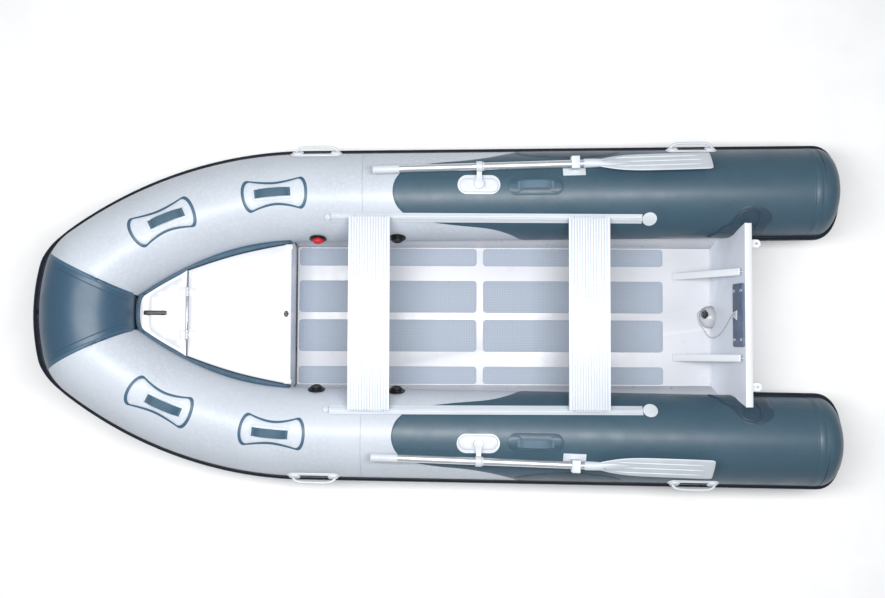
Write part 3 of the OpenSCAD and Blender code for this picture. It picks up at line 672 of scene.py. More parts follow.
# ---------------------------------------------------------------- lanyard of the drain plug
LANYARD_D = 0.002
lanyard_route = [
    (-1.4284, -0.006, 0.438), (-1.424, 0.004, 0.420), (-1.422, 0.016, 0.400), (-1.419, 0.034, 0.376),
    (-1.415, 0.054, 0.345), (-1.410, 0.074, 0.310), (-1.403, 0.092, 0.275), (-1.394, 0.104, 0.235),
    (-1.385, 0.107, 0.200), (-1.376, 0.100, 0.174), (-1.366, 0.086, 0.163), (-1.354, 0.066, 0.1615),
    (-1.341, 0.048, 0.1615), (-1.330, 0.030, 0.1615), (-1.323, 0.010, 0.1615), (-1.322, -0.010, 0.1615),
    (-1.327, -0.026, 0.162), (-1.338, -0.033, 0.163), (-1.350, -0.029, 0.161), (-1.360, -0.021, 0.156),
    (-1.3655, -0.017, 0.1515), (-1.366, -0.016, 0.1486)]


def lanyard():
    points = spline(lanyard_route, 5, closed=False)
    curve = bpy.data.curves.new("drain_lanyard_wire", "CURVE")
    curve.dimensions = "3D"
    line = curve.splines.new("POLY")
    line.points.add(len(points) - 1)
    for knot, p in zip(line.points, points):
        knot.co = (*p, 1.0)
    curve.bevel_depth = LANYARD_D / 2
    curve.bevel_resolution = 2
    curve.use_fill_caps = True
    curve.materials.append(wire_steel)
    wire = placed("drain_lanyard_wire", curve)
    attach(wire, owner("drain_lanyard"))
    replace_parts(wire, "drain_lanyard")


lanyard()


# ---------------------------------------------------------------- tubes
TUBE_SIDES = 96
SEAM_WALL = polar(1.0, SEAM_TURN + math.pi / 2)
PANEL_T = 0.0009


def steps(a, b, pitch):
    n = max(1, int(math.ceil(abs(b - a) / pitch)))
    return [a + (b - a) * i / n for i in range(n + 1)]


def tube_ring(s, lift=0.0, clamp=False):
    """Ring of the port tube; clamp holds it short of the centre of the tight corner arc."""
    c, a = station(s)
    ring = []
    for up in turns(TUBE_SIDES):
        out = (TUBE_R + lift) * math.cos(up)
        if clamp:
            out = max(out, -CORNER_R)
        ring.append(c + Vector((out * math.cos(a), out * math.sin(a), (TUBE_R + lift) * math.sin(up))))
    return ring


def tube_part(name, run, material, side=1, lift=0.0, cut=0, mirror=False):
    """Tube through the stations in run. cut keeps the side aft (1) or ahead (-1) of the nose seam."""
    rings = [tube_ring(s, lift, clamp=S_CORNER < s < S_NOSE) for s in run]
    uvs = [(s, TUBE_R * a) for s in run for a in turns(TUBE_SIDES)]
    piece = loft(name, rings, material, side=side, caps=False, uvs=uvs)
    if cut:
        wall = Vector((SEAM_WALL.x, SEAM_WALL.y * side, 0))
        with edited(piece.data) as work:
            bmesh.ops.bisect_plane(work, geom=work.verts[:] + work.edges[:] + work.faces[:], dist=1e-6,
                                   plane_co=(CORNER_C.x, CORNER_C.y * side, 0), plane_no=wall,
                                   clear_inner=cut > 0, clear_outer=cut < 0)
            bmesh.ops.remove_doubles(work, verts=work.verts, dist=2e-5)
    if mirror:
        modify(piece, "MIRROR", use_axis=(False, True, False), merge_threshold=0.0005)
    return piece


S_SHADE = -1.10     # the light undertube ends here, below the slate panel
S_SEAL = -1.27      # the slate panel closes round the whole tube here
S_CONE = s_at(CONE_X)
S_JOINT = -0.30
corner_run = steps(S_CORNER, S_NOSE, 0.006)

for word, side in SIDES.items():
    bow = tube_part("bow_tube_skin_" + word, steps(S_JOINT, S_CORNER, 0.022)[:-1] + corner_run,
                    light_fabric, side, cut=1)
    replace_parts(bow, "bow_tube_" + word)
    tube_part("side_tube_light_" + word, steps(S_SHADE, S_JOINT + 0.002, 0.03), light_fabric, side)
    aft = tube_part("side_tube_slate_" + word, steps(S_CONE, S_SEAL, 0.03), slate_fabric, side, lift=PANEL_T)
    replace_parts(aft, "side_tube_" + word)
nose = tube_part("nose_tube_skin", steps(S_NOSE, S_END, 0.01)[::-1] + corner_run[::-1][1:], nose_fabric,
                 cut=-1, mirror=True)
nose.data.flip_normals()
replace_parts(nose, "nose_tube", "tube_baffles")


def top(x, y, lift=0.0):
    """Point on the tube's upper skin over x, y on the port side, moved out along the skin's normal."""
    p = Vector((x, y))
    if x < STRAIGHT_X:
        s, up = on_plan(x, y)
        return skin(s, up, lift)
    if (p - CORNER_C).dot(SEAM_WALL) < 0:
        away = p - NOSE_C
        a = math.atan2(away.y, away.x)
        c = NOSE_C + polar(NOSE_R, a) if a <= NOSE_TURN else None
    else:
        away = p - BOW_C
        a = math.atan2(away.y, away.x)
        c = BOW_C + polar(BOW_R, a) if a >= CORNER_TURN else None
    if c is None:
        away = p - CORNER_C
        c = CORNER_C + polar(CORNER_R, math.atan2(away.y, away.x))
    d = p - c
    k = min(d.length, TUBE_R * 0.9995)
    flat = d.normalized() * k if d.length > 1e-9 else Vector((0, 0))
    rise = math.sqrt(TUBE_R ** 2 - k * k)
    out = Vector((flat.x, flat.y, rise))
    return Vector((c.x, c.y, sheer(c.x))) + out * (1 + lift / TUBE_R)


def corner_cut(points, times=2):
    """Chaikin's rounding of a closed outline."""
    for _ in range(times):
        rounded = []
        for k, p in enumerate(points):
            q = points[(k + 1) % len(points)]
            rounded.append(tuple(0.75 * a + 0.25 * b for a, b in zip(p, q)))
            rounded.append(tuple(0.25 * a + 0.75 * b for a, b in zip(p, q)))
        points = rounded
    return points


# The slate panel: a wave on the crest that spreads to the whole tube aft.
# Points are (distance along the tube, distance round it from the outboard side).
wave_front = [
    (S_SEAL, -0.342), (-1.2, -0.2), (-1.135, -0.06), (-1.085, 0.03), (-1.03, 0.092), (-0.95, 0.138),
    (-0.86, 0.165), (-0.775, 0.18), (-0.695, 0.188), (-0.618, 0.2), (-0.545, 0.218), (-0.49, 0.248),
    (-0.457, 0.295), (-0.446, 0.35), (-0.458, 0.405), (-0.486, 0.445), (-0.53, 0.478), (-0.62, 0.505),
    (-0.75, 0.528), (-0.85, 0.542), (-0.92, 0.556), (-0.98, 0.58), (-1.03, 0.615), (-1.062, 0.658),
    (-1.1, 0.72), (-1.15, 0.82), (-1.205, 0.93), (S_SEAL, 1.04)]


def dense(points, pitch):
    """Points added along the straight sides of an open run."""
    result = []
    for a, b in zip(points, points[1:]):
        n = max(1, int(math.dist(a, b) / pitch))
        result += [tuple(p + (q - p) * i / n for p, q in zip(a, b)) for i in range(n)]
    return result + [points[-1]]


for word, side in SIDES.items():
    edge = spline(wave_front, 3, closed=False)
    seal = dense([edge[-1], edge[0]], 0.02)[1:-1]
    patch("wave_panel_" + word, edge + seal, 0.0, PANEL_T, slate_fabric, side, pitch=0.021,
          hem=lambda p, q: max(p[0], q[0]) > S_SEAL + 1e-6)


def band_on_tube(name, centre, half, v0, v1, lift, thick, material, side=1):
    """Tape across the tube at one distance along it."""
    corners = [(centre - half, v0), (centre + half, v0), (centre + half, v1), (centre - half, v1)]
    outline = []
    for k, p in enumerate(corners):
        outline += dense([p, corners[(k + 1) % 4]], 0.012 if k % 2 else 0.02)[:-1]
    return patch(name, outline, lift, thick, material, side, pitch=0.02)


# Cones: a superellipse turned about the tube's axis, with their seam tape
CONE_L = CONE_X - CONE_END
CONE_POWER = 2.3
CONE_RINGS = 29


def cone_point(t, r, l):
    return r * math.cos(t) ** (2 / CONE_POWER), l * math.sin(t) ** (2 / CONE_POWER)


def cone(word, side):
    axis = station(S_CONE)[0]
    rings = []
    for k in range(CONE_RINGS):
        t = min(math.pi / 2 * k / (CONE_RINGS - 1), math.pi / 2 - 0.004)
        r, l = cone_point(t, TUBE_R + PANEL_T, CONE_L)
        rings.append([axis + Vector((-l, r * math.cos(a), r * math.sin(a))) for a in turns(TUBE_SIDES)])
    uvs = [(k * 0.01, i * 0.0144) for k in range(CONE_RINGS) for i in range(TUBE_SIDES)]
    piece = loft("stern_cone_skin_" + word, rings, slate_fabric, side=side, caps=False, uvs=uvs)
    with edited(piece.data) as work:
        work.verts.ensure_lookup_table()
        work.faces.new(work.verts[-TUBE_SIDES:])
        bmesh.ops.recalc_face_normals(work, faces=work.faces)
    piece.data.shade_smooth()
    return piece


for word, side in SIDES.items():
    piece = cone(word, side)
    if side > 0:
        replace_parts(piece, "stern_cones")
    for k, (gap, half) in enumerate(((0.030, 0.016), (0.052, 0.003))):
        band_on_tube("cone_tape_%s_%d" % (word, k), S_CONE + gap, half, 0.03, 0.66, PANEL_T, 0.0006,
                     slate_fabric, side)

# Seam tapes of the nose: two strips along each seam, on the nose side
def seam_strip(name, gap0, gap1, material, side, lift):
    rows = []
    for t in steps(-0.136, CORNER_R + TUBE_R * 0.955, 0.008):
        rows.append([(t, w) for w in steps(gap0, gap1, 0.007)])
    m = len(rows[0])
    verts, faces = [], []
    along, across = polar(1.0, SEAM_TURN), -SEAM_WALL
    for layer in (lift, 0.0):
        for row in rows:
            for t, w in row:
                p = CORNER_C + along * t + across * w
                verts.append(top(p.x, p.y, layer))
    n = len(rows)
    for i in range(n - 1):
        for j in range(m - 1):
            faces.append((i * m + j, (i + 1) * m + j, (i + 1) * m + j + 1, i * m + j + 1))
        for j, turn in ((0, False), (m - 1, True)):
            quad = (i * m + j, n * m + i * m + j, n * m + (i + 1) * m + j, (i + 1) * m + j)
            faces.append(tuple(reversed(quad)) if turn else quad)
    return finish_piece(name, verts, faces, material, side=side)


for word, side in SIDES.items():
    seam_strip("nose_seam_cover_" + word, -0.006, 0.012, seam_fabric, side, 0.0016)
    seam_strip("nose_seam_tape_" + word, 0.0, 0.036, nose_fabric, side, 0.0009)


# ---------------------------------------------------------------- strake
STRAKE_HALF = 0.032
STRAKE_T = 0.018
FENDER_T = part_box("strake_nose")[1].x - NOSE_X - TUBE_R
WRAP_END_X = -1.5    # the strake runs round the cone and ends on the inboard side here
WRAP_L = CONE_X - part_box("strake_port")[0].x - STRAKE_T


def strake_form(t):
    """Half-round rubbing strake, thickness t, with two grooves."""
    points = []
    for k in range(25):
        v = -1 + 2 * k / 24
        out = t * (1 - abs(v) ** 3.2) ** 0.5 if abs(v) < 1 else 0.0
        groove = 0.0022 * math.exp(-((abs(v) - 0.36) / 0.07) ** 2)
        points.append((out - groove - 0.002 * (abs(v) > 0.97), v * STRAKE_HALF))
    return points + [(-0.004, STRAKE_HALF * 0.9), (-0.004, -STRAKE_HALF * 0.9)]


def strake_size(a):
    """Thickness of the strake where the tube's outward normal is at a."""
    share = (math.radians(45) - abs(a)) / math.radians(27)
    return STRAKE_T + (FENDER_T - STRAKE_T) * min(1.0, max(0.0, share))


def strake(word, side):
    rings = []
    for s in steps(S_CONE, S_CORNER, 0.025)[:-1] + corner_run + steps(S_NOSE, S_END, 0.015)[1:]:
        c, a = station(s)
        rings.append([c + Vector(((TUBE_R + out) * math.cos(a), (TUBE_R + out) * math.sin(a), v))
                      for out, v in strake_form(strake_size(a))])
    axis = station(S_CONE)[0]
    wrap = []
    for k in range(1, 48):
        t = math.pi * k / 48
        r, l = cone_point(min(t, math.pi - t), TUBE_R, WRAP_L)
        y = -r if t > math.pi / 2 else r
        d = Vector((-math.sin(t) * TUBE_R, math.cos(t) * WRAP_L, 0)).normalized()
        wrap.append([axis + Vector((-l, y, v)) + d * out for out, v in strake_form(STRAKE_T)])
    for x in steps(CONE_X, WRAP_END_X, 0.03):
        wrap.append([Vector((x, side_y(x) - TUBE_R - out, TUBE_Z + v)) for out, v in strake_form(STRAKE_T)])
    piece = loft("strake_" + word + "_finished", list(reversed(wrap)) + rings, strake_rubber, side=side)
    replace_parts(piece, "strake_" + word)
    return piece


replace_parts(strake("port", 1), "strake_nose")
strake("starboard", -1)


# ---------------------------------------------------------------- pieces on the tubes
def on_skin(s, up, lift=0.0):
    """Matrix of a frame on the port tube: X forward along it, Z out of it."""
    forward = (skin(s + 0.01, up) - skin(s - 0.01, up)).normalized()
    out = (skin(s, up, 0.01) - skin(s, up)).normalized()
    m = Matrix((forward, out.cross(forward), out)).transposed().to_4x4()
    m.translation = skin(s, up, lift)
    return m


def bone(length, end, waist, bulge, s, v):
    """Patch outline with hollow long sides and bulging ends, round a point on the tube."""
    side = [(length * (k / 8 - 0.5), waist / 2 + (end - waist) / 2 * abs(k / 4 - 1) ** 1.7)
            for k in range(9)]
    half = side + [(length / 2 + bulge, end * 0.22), (length / 2 + bulge, -end * 0.22)]
    outline = half + [(-a, -b) for a, b in half]
    return [(s + a, v - b) for a, b in corner_cut(outline, 2)]


def strap(name, s, up, length, height, width, thick, material, side):
    """Webbing handle: flat ends glued down, and an arch between them."""
    m = on_skin(s, up, 0.0022)
    path = []
    for k in range(41):
        u = -1 + k / 20
        rise = max(0.0, 1 - (abs(u) / 0.86) ** 3.4) ** 0.9
        path.append(m @ Vector((u * length / 2, 0, thick / 2 + (height - thick) * rise)))
    form = round_form(width, thick, thick * 0.45, 3)
    piece = sweep(name, path, form, material, side=side, up=m.to_3x3().col[2])
    modify(piece, "EDGE_SPLIT", split_angle=math.radians(50))
    return piece


SIDE_HANDLE_X = -0.447
bow_handles = {"fore": (0.669, 0.646), "aft": (0.124, 0.133)}
for word, side in SIDES.items():
    for row, (s_patch, s_strap) in bow_handles.items():
        name = "bow_%s_%s" % (row, word)
        v = 0.349
        for part, size, lift, material in (("_patch_edging", (0.272, 0.166, 0.112, 0.022), 0, edge_fabric),
                                           ("_patch", (0.248, 0.142, 0.088, 0.020), 0.0008, pale_fabric)):
            patch(name + part, bone(*size, s_patch, v), lift, 0.0012, material, side)
        patch(name + "_strap_base", plate_form(s_strap, v, 0.196, 0.060, 0.018), 0.0018, 0.0007,
              pale_fabric, side, pitch=0.02)
        handle = strap(name + "_strap", s_strap, math.pi / 2, 0.172, 0.028, 0.042, 0.0038, slate_webbing,
                       side)
        if word == "port" and row == "fore":
            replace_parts(handle, "bow_strap_handles")
    s_side = s_at(SIDE_HANDLE_X)
    v_side = TUBE_R * math.radians(86)
    for k, u in enumerate((-0.098, 0.098)):
        patch("side_handle_disc_%s_%d" % (word, k), oval(s_side + u, v_side, 0.036, 0.034), PANEL_T, 0.0011,
              slate_fabric, side)
    patch("side_handle_base_" + word, plate_form(s_side, v_side, 0.262, 0.088, 0.036), PANEL_T, 0.0005,
          slate_fabric, side)
    handle = strap("side_handle_strap_" + word, s_side, math.radians(85), 0.176, 0.026, 0.040, 0.004,
                   dark_webbing, side)
    if word == "port":
        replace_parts(handle, "side_strap_handles")
    # A plain oval badge patch on the aft flank
    patch("flank_badge_" + word, oval(-1.305, 0.092, 0.262, 0.074, 40), PANEL_T, 0.0009, patch_fabric, side)


def carry_handle(word, k, x, side):
    """Moulded lifting handle low on the tube's flank: flange, recess and bar, with a black sheet in the
    recess as painted shade.
    """
    s = s_at(x)
    if x > STRAIGHT_X:
        s = BOW_R * (SIDE_TURN - math.acos((x - BOW_C.x) / BOW_R))
    up = math.radians(20)
    v = TUBE_R * up
    name = "carry_%s_%d" % (word, k)
    for part, size, lift, thick, material, slot in (
            ("_flange", (0.246, 0.058, 0.026), PANEL_T, 0.0045, grey_plastic, "grey_plastic"),
            ("_raised", (0.200, 0.044, 0.020), 0.005, 0.0028, grey_plastic, "grey_plastic"),
            # the black sheet is painted shade in the recess
            ("_recess_shade", (0.150, 0.034, 0.012), 0.0074, 0.0008, painted_shade_black, None)):
        patch(name + part, plate_form(s, v, *size), lift, thick, material, side, pitch=0.014)
    m = on_skin(s, up, 0.004)
    path = []
    for i in range(49):
        u = -1 + i / 24
        path.append(m @ Vector((u * 0.104, 0, 0.003 + 0.031 * max(0.0, 1 - abs(u) ** 5) ** 0.5)))
    bar = sweep(name + "_bar", path, round_form(0.018, 0.0115, 0.005, 3), grey_plastic, side=side,
                up=m.to_3x3().col[2])
    for i, u in enumerate((-0.092, 0.092)):
        patch(name + "_lug_%d" % i, plate_form(s + u, v, 0.038, 0.036, 0.012), 0.006, 0.009, grey_plastic,
              side, pitch=0.012)
    return bar


for word, side in SIDES.items():
    for k, x in enumerate((0.622, -1.232)):
        bar = carry_handle(word, k, x, side)
        if word == "port" and k == 0:
            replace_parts(bar, "carry_handles")

# Reinforcement where the transom meets the tube: a dark patch, and a welt that follows the joint
transom_patch = [
    (-2.03, 0.63), (-2.045, 0.56), (-2.085, 0.53), (-2.112, 0.475), (-2.15, 0.436), (-2.215, 0.434),
    (-2.28, 0.472), (-2.292, 0.52), (-2.28, 0.57), (-2.285, 0.64)]
welt_path = [
    (-2.005, 0.655), (-2.055, 0.585), (-2.095, 0.55), (-2.118, 0.50), (-2.145, 0.464), (-2.19, 0.458),
    (-2.222, 0.478), (-2.228, 0.52), (-2.218, 0.56)]
for word, side in SIDES.items():
    patch("transom_patch_" + word, corner_cut(transom_patch, 2), PANEL_T, 0.0012, patch_fabric, side)
    line = [skin(s, v / TUBE_R, 0.002) for s, v in spline(welt_path, 8, closed=False)]
    sweep("transom_welt_" + word, line, circle_form(0.0055, 10), patch_fabric, side=side)

# ---------------------------------------------------------------- bow deck
LID_X0 = 0.752
DECK_Z = 0.385
DECK_SLOPE = math.radians(5)
HINGE_X = 1.258
ROUND_X = 1.470
TIP_X = 1.496
EDGING_W = 0.015
EDGING_LIFT = 0.016


def deck_u(x):
    """Distance up the sloping deck from the lid's aft edge, at x."""
    return (x - LID_X0) / math.cos(DECK_SLOPE)


def deck_x(u):
    return LID_X0 + u * math.cos(DECK_SLOPE)


def deck_z(x):
    return DECK_Z + (x - LID_X0) * math.tan(DECK_SLOPE)


HINGE_U = deck_u(HINGE_X)
lid_widths = [(-0.001, 0.352), (0.127, 0.327), (0.254, 0.297), (0.381, 0.258), (HINGE_U, 0.212)]


def on_deck(u, y, w=0.0):
    """Point u up the deck, y across and w above its surface."""
    return Vector((deck_x(u) - w * math.sin(DECK_SLOPE), y,
                   DECK_Z + u * math.sin(DECK_SLOPE) + w * math.cos(DECK_SLOPE)))


def lerp(points, x):
    for (x0, y0), (x1, y1) in zip(points, points[1:]):
        if x <= x1:
            return y0 + (y1 - y0) * (x - x0) / (x1 - x0)
    return points[-1][1]


lid_curve = spline(lid_widths, 12, closed=False)


def tube_inner(x, z, gap):
    """Half width between the tubes at x and a height z, with a gap to the skin."""
    yc, zc, wide = tube_at(x)
    return yc - wide * math.sqrt(max(0.0, (TUBE_R + gap) ** 2 - (z - zc) ** 2))


def deck_half(x):
    if x > ROUND_X:
        k = (x - ROUND_X) / (TIP_X - ROUND_X)
        return deck_half(ROUND_X) * math.sqrt(max(0.0, 1 - k * k))
    return tube_inner(x, deck_z(x), 0.004)


def pan(name, half, u0, u1, depth, r_aft, r_side, material, body, crown=0.002):
    """Pressed cover: a slightly crowned top whose edges roll down all round."""
    rings = []
    cut = [(0.0, depth)] + [(r_aft * (1 - math.cos(a)), r_side * (1 - math.sin(a)))
                            for a in (math.pi / 2 * k / 6 for k in range(7))]
    ends = [(u0 + du, drop) for du, drop in cut]
    middle = [(u, 0.0) for u in steps(u0 + r_aft, u1 - r_side, 0.022)[1:-1]]
    fore = [(u1 - r_side * (1 - math.cos(a)), r_side * (1 - math.sin(a)))
            for a in (math.pi / 2 * (1 - k / 6) for k in range(7))] + [(u1, depth)]
    for u, drop in ends + middle + fore:
        h = half(u)
        r = min(r_side, h * 0.5)
        across = [(-h, -depth)] + [(-h + r * (1 - math.cos(a)), -r * (1 - math.sin(a)))
                                   for a in (math.pi / 2 * k / 5 for k in range(6))]
        flat = [(-h + r + (2 * h - 2 * r) * k / 14, crown * (1 - (2 * k / 14 - 1) ** 2))
                for k in range(1, 14)]
        line = across + flat + [(-y, w) for y, w in reversed(across)]
        rings.append([on_deck(u, y, min(w, -drop) if drop else w) for y, w in line])
    piece = loft(name, rings, material, body, closed=False, caps=False)
    modify(piece, "SOLIDIFY", thickness=0.0018, offset=-1.0)
    with edited(piece.data) as work:
        bmesh.ops.remove_doubles(work, verts=work.verts, dist=1e-5)
        bmesh.ops.recalc_face_normals(work, faces=work.faces)
        if sum(f.normal.z * f.calc_area() for f in work.faces) < 0:
            bmesh.ops.reverse_faces(work, faces=work.faces)
    return piece


lid = pan("locker_lid_panel", lambda u: lerp(lid_curve, u) - 0.0015, 0.0, HINGE_U - 0.002, 0.017, 0.036,
          0.006, deck_paint, "locker_lid")
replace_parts(lid, "locker_lid")


def fore_half(u):
    """Half width of the fixed foredeck panel."""
    return max(0.003, deck_half(deck_x(u)) - 0.005)


TIP_U = deck_u(TIP_X - 0.004)
deck_top = pan("foredeck_panel", fore_half, HINGE_U + 0.002, TIP_U, 0.004, 0.003, 0.003, deck_paint, HULL)
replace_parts(deck_top, "foredeck")


# Pressed frame line of the foredeck: a raised step along its edges, forward of the hinge
step_u = [HINGE_U + 0.028 + (TIP_U - 0.05 - HINGE_U - 0.028) * k / 14 for k in range(15)]
step_half = [(u, max(0.02, (fore_half(u) - 0.034) * (1 if k < 14 else 0.72))) for k, u in enumerate(step_u)]
raised = corner_cut(step_half + [(u, -y) for u, y in reversed(step_half)], 2)
patch("foredeck_step", raised, 0.0006, 0.0016, deck_paint, pitch=0.03, shape=on_deck)


def edging_profile(outer, inner):
    """Rubber lip from the tube down to the deck, rounded over."""
    (u0, y0), (u1, y1) = outer, inner
    shape = ((0.0, EDGING_LIFT), (0.06, 0.0145), (0.16, 0.0105), (0.32, 0.0075), (0.55, 0.0062),
             (0.8, 0.0056), (0.95, 0.0045), (1.0, 0.0020), (1.0, -0.004))
    return [on_deck(u0 + (u1 - u0) * k, y0 + (y1 - y0) * k, w) for k, w in shape]


def edging_rings():
    rings = []
    us = steps(0.004, HINGE_U, 0.02) + steps(HINGE_U, deck_u(ROUND_X), 0.02)[1:]
    hinge_y = lerp(lid_curve, HINGE_U) + 0.0035
    for u in us:
        x = deck_x(u)
        outer = tube_inner(x, deck_z(x) + EDGING_LIFT, 0.0)
        widest = outer - 0.012
        inner = min(lerp(lid_curve, u) + 0.0035 if u <= HINGE_U else fore_half(u) - EDGING_W, widest)
        if HINGE_U < u < HINGE_U + 0.08:
            k = (u - HINGE_U) / 0.08
            inner = (1 - k) * min(hinge_y - (u - HINGE_U) * 0.62, widest) + k * inner
        rings.append(edging_profile((u, outer), (u, inner)))
    last_u, last_y = us[-1], fore_half(us[-1])
    reach = deck_u(TIP_X + 0.006) - last_u
    for k in range(1, 25):
        a = math.pi / 2 * (1 - k / 24)
        outer = (last_u + reach * math.cos(a), (last_y + 0.005) * math.sin(a))
        inner = (last_u - 0.004 + (reach - 0.012) * math.cos(a), (last_y - EDGING_W) * math.sin(a))
        rings.append(edging_profile(outer, inner))
    return rings


edging = loft("deck_edging_lip", edging_rings(), edging_rubber, closed=False, caps=False)
modify(edging, "MIRROR", use_axis=(False, True, False), merge_threshold=0.0008)
modify(edging, "SOLIDIFY", thickness=0.0015, offset=1.0)
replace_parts(edging, "deck_edging")

# Black rods of painted shade in the gap between the lid and the edging, and under the hinge line
for word, side in SIDES.items():
    line = [on_deck(u, lerp(lid_curve, u) + 0.0012, -0.0035) for u in steps(0.0, HINGE_U, 0.02)]
    sweep("lid_gap_shade_" + word, line, circle_form(0.0022, 8), painted_shade_black, side=side)
# black rod of painted shade under the hinge gap
sweep("hinge_gap_shade", [on_deck(HINGE_U + 0.0005, y, -0.0045) for y in steps(-0.205, 0.205, 0.02)],
      circle_form(0.0032, 8), painted_shade_black)

# Brackets at the aft corners of the locker
BRACKET_Y = 0.334


def under_deck(u, y, h):
    return on_deck(u, y, h - 0.004)


for word, side in SIDES.items():
    patch("lid_corner_" + word, plate_form(0.016, BRACKET_Y, 0.036, 0.024, 0.006), 0.0005, 0.0022,
          grey_plastic, side, pitch=0.01, shape=under_deck, body="locker_lid")
    for k, u in enumerate((0.006, 0.026)):
        patch("lid_corner_screw_%s_%d" % (word, k), oval(u, BRACKET_Y, 0.0035, 0.0035, 12), 0.0022, 0.0012,
              pin_steel, side, pitch=0.003, shape=under_deck, body="locker_lid")

# Cleat: a black moulded bridge with its two feet
cleat_u = deck_u(1.410)
path = []
for k in range(41):
    t = -1 + k / 20
    path.append(on_deck(cleat_u + t * 0.0525, 0, 0.0205 - 0.004 * abs(t) ** 6))
cleat = sweep("bow_cleat_bridge", path, round_form(0.021, 0.0088, 0.0036, 3), black_plastic)
modify(cleat, "BEVEL", width=0.002, segments=3, limit_method="ANGLE", angle_limit=math.radians(50))
for k, u in enumerate((-0.034, 0.034)):
    rings = []
    for h, r in ((0.0002, 0.0125), (0.002, 0.0125), (0.004, 0.0092), (0.012, 0.0088), (0.0165, 0.0096)):
        rings.append([on_deck(p, q, h) for p, q in oval(cleat_u + u, 0.0, r, r)])
    loft("bow_cleat_foot_%d" % k, rings, black_plastic)
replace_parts(cleat, "bow_cleat")

for node, material, width in (("hinge_leaf_deck", deck_paint, 0.0008), ("hinge_leaf_lid", deck_paint, 0.0008),
                              ("hinge_pin", pin_steel, 0.0006), ("latch_turn", black_plastic, 0.0012),
                              ("latch_keeper", pin_steel, 0.0004), ("locker_box", inner_paint, 0.0006)):
    softened(node, material, width, 2)


# ---------------------------------------------------------------- hull
TRANSOM_X = -1.390
RAKE = math.radians(11)
PLATE_T = 0.002
CRADLE = TUBE_R + 0.003
STEM_X = 1.620
CHINE = math.radians(247)


def hull_ring(x, squeeze=1.0, ahead=0.0):
    """Section of the bottom from one flange to the other, with a softly rolled chine."""
    yc, zc, wide = tube_at(x)
    fore = max(0.0, (x - 0.8) / (STEM_X - 0.8))
    keel = 0.006 + 0.248 * fore ** 2.2
    flat = 0.050 * (1 - 0.8 * fore)
    end = math.radians(208 + 25 * max(0.0, (x - 1.4) / (STEM_X - 1.4)))
    arc = [(yc + CRADLE * wide * math.cos(a), zc + CRADLE * math.sin(a))
           for a in (CHINE + (end - CHINE) * k / 10 for k in range(11))]
    chine = arc[0]
    bottom = [(flat + (chine[0] - flat) * k / 8, keel + (chine[1] - keel) * k / 8) for k in range(8)]
    half = [(0.0, keel), (flat * 0.6, keel)] + bottom + arc
    line = [(-y, z) for y, z in reversed(half[1:])] + half
    top_z = max(z for y, z in line)
    points = []
    for y, z in line:
        aft = x if x > TRANSOM_X + 1e-6 else TRANSOM_X + (FLOOR_Z - z) * math.tan(RAKE)
        points.append(Vector((aft + ahead, y * squeeze, z + (top_z - z) * (1 - squeeze) * 0.5)))
    return points


stations = [TRANSOM_X] + steps(-1.30, STEM_X, 0.05)
stem = [hull_ring(STEM_X, math.sqrt(1 - (k / 6) ** 2), 0.020 * k / 6) for k in range(1, 7)]
bottom = loft("hull_bottom", [hull_ring(x) for x in stations] + stem, hull_paint, closed=False, caps=False)
modify(bottom, "SOLIDIFY", thickness=PLATE_T, offset=0.0)
modify(bottom, "EDGE_SPLIT", split_angle=math.radians(28))
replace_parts(bottom, "hull_shell")

for node, material, width in (
        ("keel_strip", hull_paint, 0.0015), ("hull_frames", inner_paint, 0.0003),
        ("floor_deck", deck_paint, 0.0006), ("transom_plate", inner_paint, 0.0005),
        # the knees in the greyer paint: painted shade on their webs
        ("transom_knees", painted_shade_grey, 0.0012),
        ("motor_pad_inner", motor_pad_rubber, 0.0025), ("motor_pad_outer", motor_pad_rubber, 0.0025),
        ("drain_well", deck_paint, 0.0006), ("drain_plug", black_plastic, 0.0014),
        ("lanyard_tab", white_plastic, 0.0016), ("towing_eyes", hull_paint, 0.0018),
        ("bow_eye", pin_steel, 0.0018),
        ("tube_baffles", pale_fabric, 0.0005), ("seat_tracks", track_metal, 0.0014),
        ("track_caps", grey_plastic, 0.0020), ("bench_fore", bench_metal, 0.0007),
        ("bench_aft", bench_metal, 0.0007),
        ("bench_fore_sliders", slider_plastic, 0.0015), ("bench_aft_sliders", slider_plastic, 0.0015),
        ("valve_bodies", black_plastic, 0.0014), ("valve_cap_1", red_plastic, 0.0016),
        ("valve_cap_2", black_plastic, 0.0016), ("valve_cap_3", black_plastic, 0.0016),
        ("valve_cap_4", black_plastic, 0.0016), ("rowlock_bases", white_plastic, 0.0040),
        ("rowlock_port", white_plastic, 0.0018), ("rowlock_starboard", white_plastic, 0.0018),
        ("oar_shaft_port", oar_metal, 0.0004), ("oar_shaft_starboard", oar_metal, 0.0004),
        ("oar_clips", grey_plastic, 0.0020)):
    softened(node, material, width, 3)

# Floor pads: four rows in two lengths
pad_cols = ((-0.173, 0.741), (-1.139, -0.211))
pad_rows = ((0.021, 0.181), (0.263, 0.348))
PAD_T = 0.003
for word, side in SIDES.items():
    for i, (x0, x1) in enumerate(pad_cols):
        for j, (y0, y1) in enumerate(pad_rows):
            outline = plate_form((x0 + x1) / 2, (y0 + y1) / 2, x1 - x0, y1 - y0, 0.014)
            pad = patch("floor_pad_%s_%d_%d" % (word, i, j), outline, 0.0, PAD_T, pad_foam, side, pitch=0.06,
                        shape=lambda u, v, h: Vector((u, v, FLOOR_Z + h)))
            if word == "port" and i == 0 and j == 0:
                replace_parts(pad, "floor_pads")


# ---------------------------------------------------------------- transom fittings
TRANSOM_H = (0.530 - FLOOR_Z) / math.cos(RAKE)


def on_transom(a, y, h):
    """Point a aft of the transom's inner face, h up its rake."""
    return Vector((TRANSOM_X - a * math.cos(RAKE) - h * math.sin(RAKE), y,
                   FLOOR_Z - a * math.sin(RAKE) + h * math.cos(RAKE)))


def on_transom_face(u, v, h):
    return on_transom(-h, u, v)


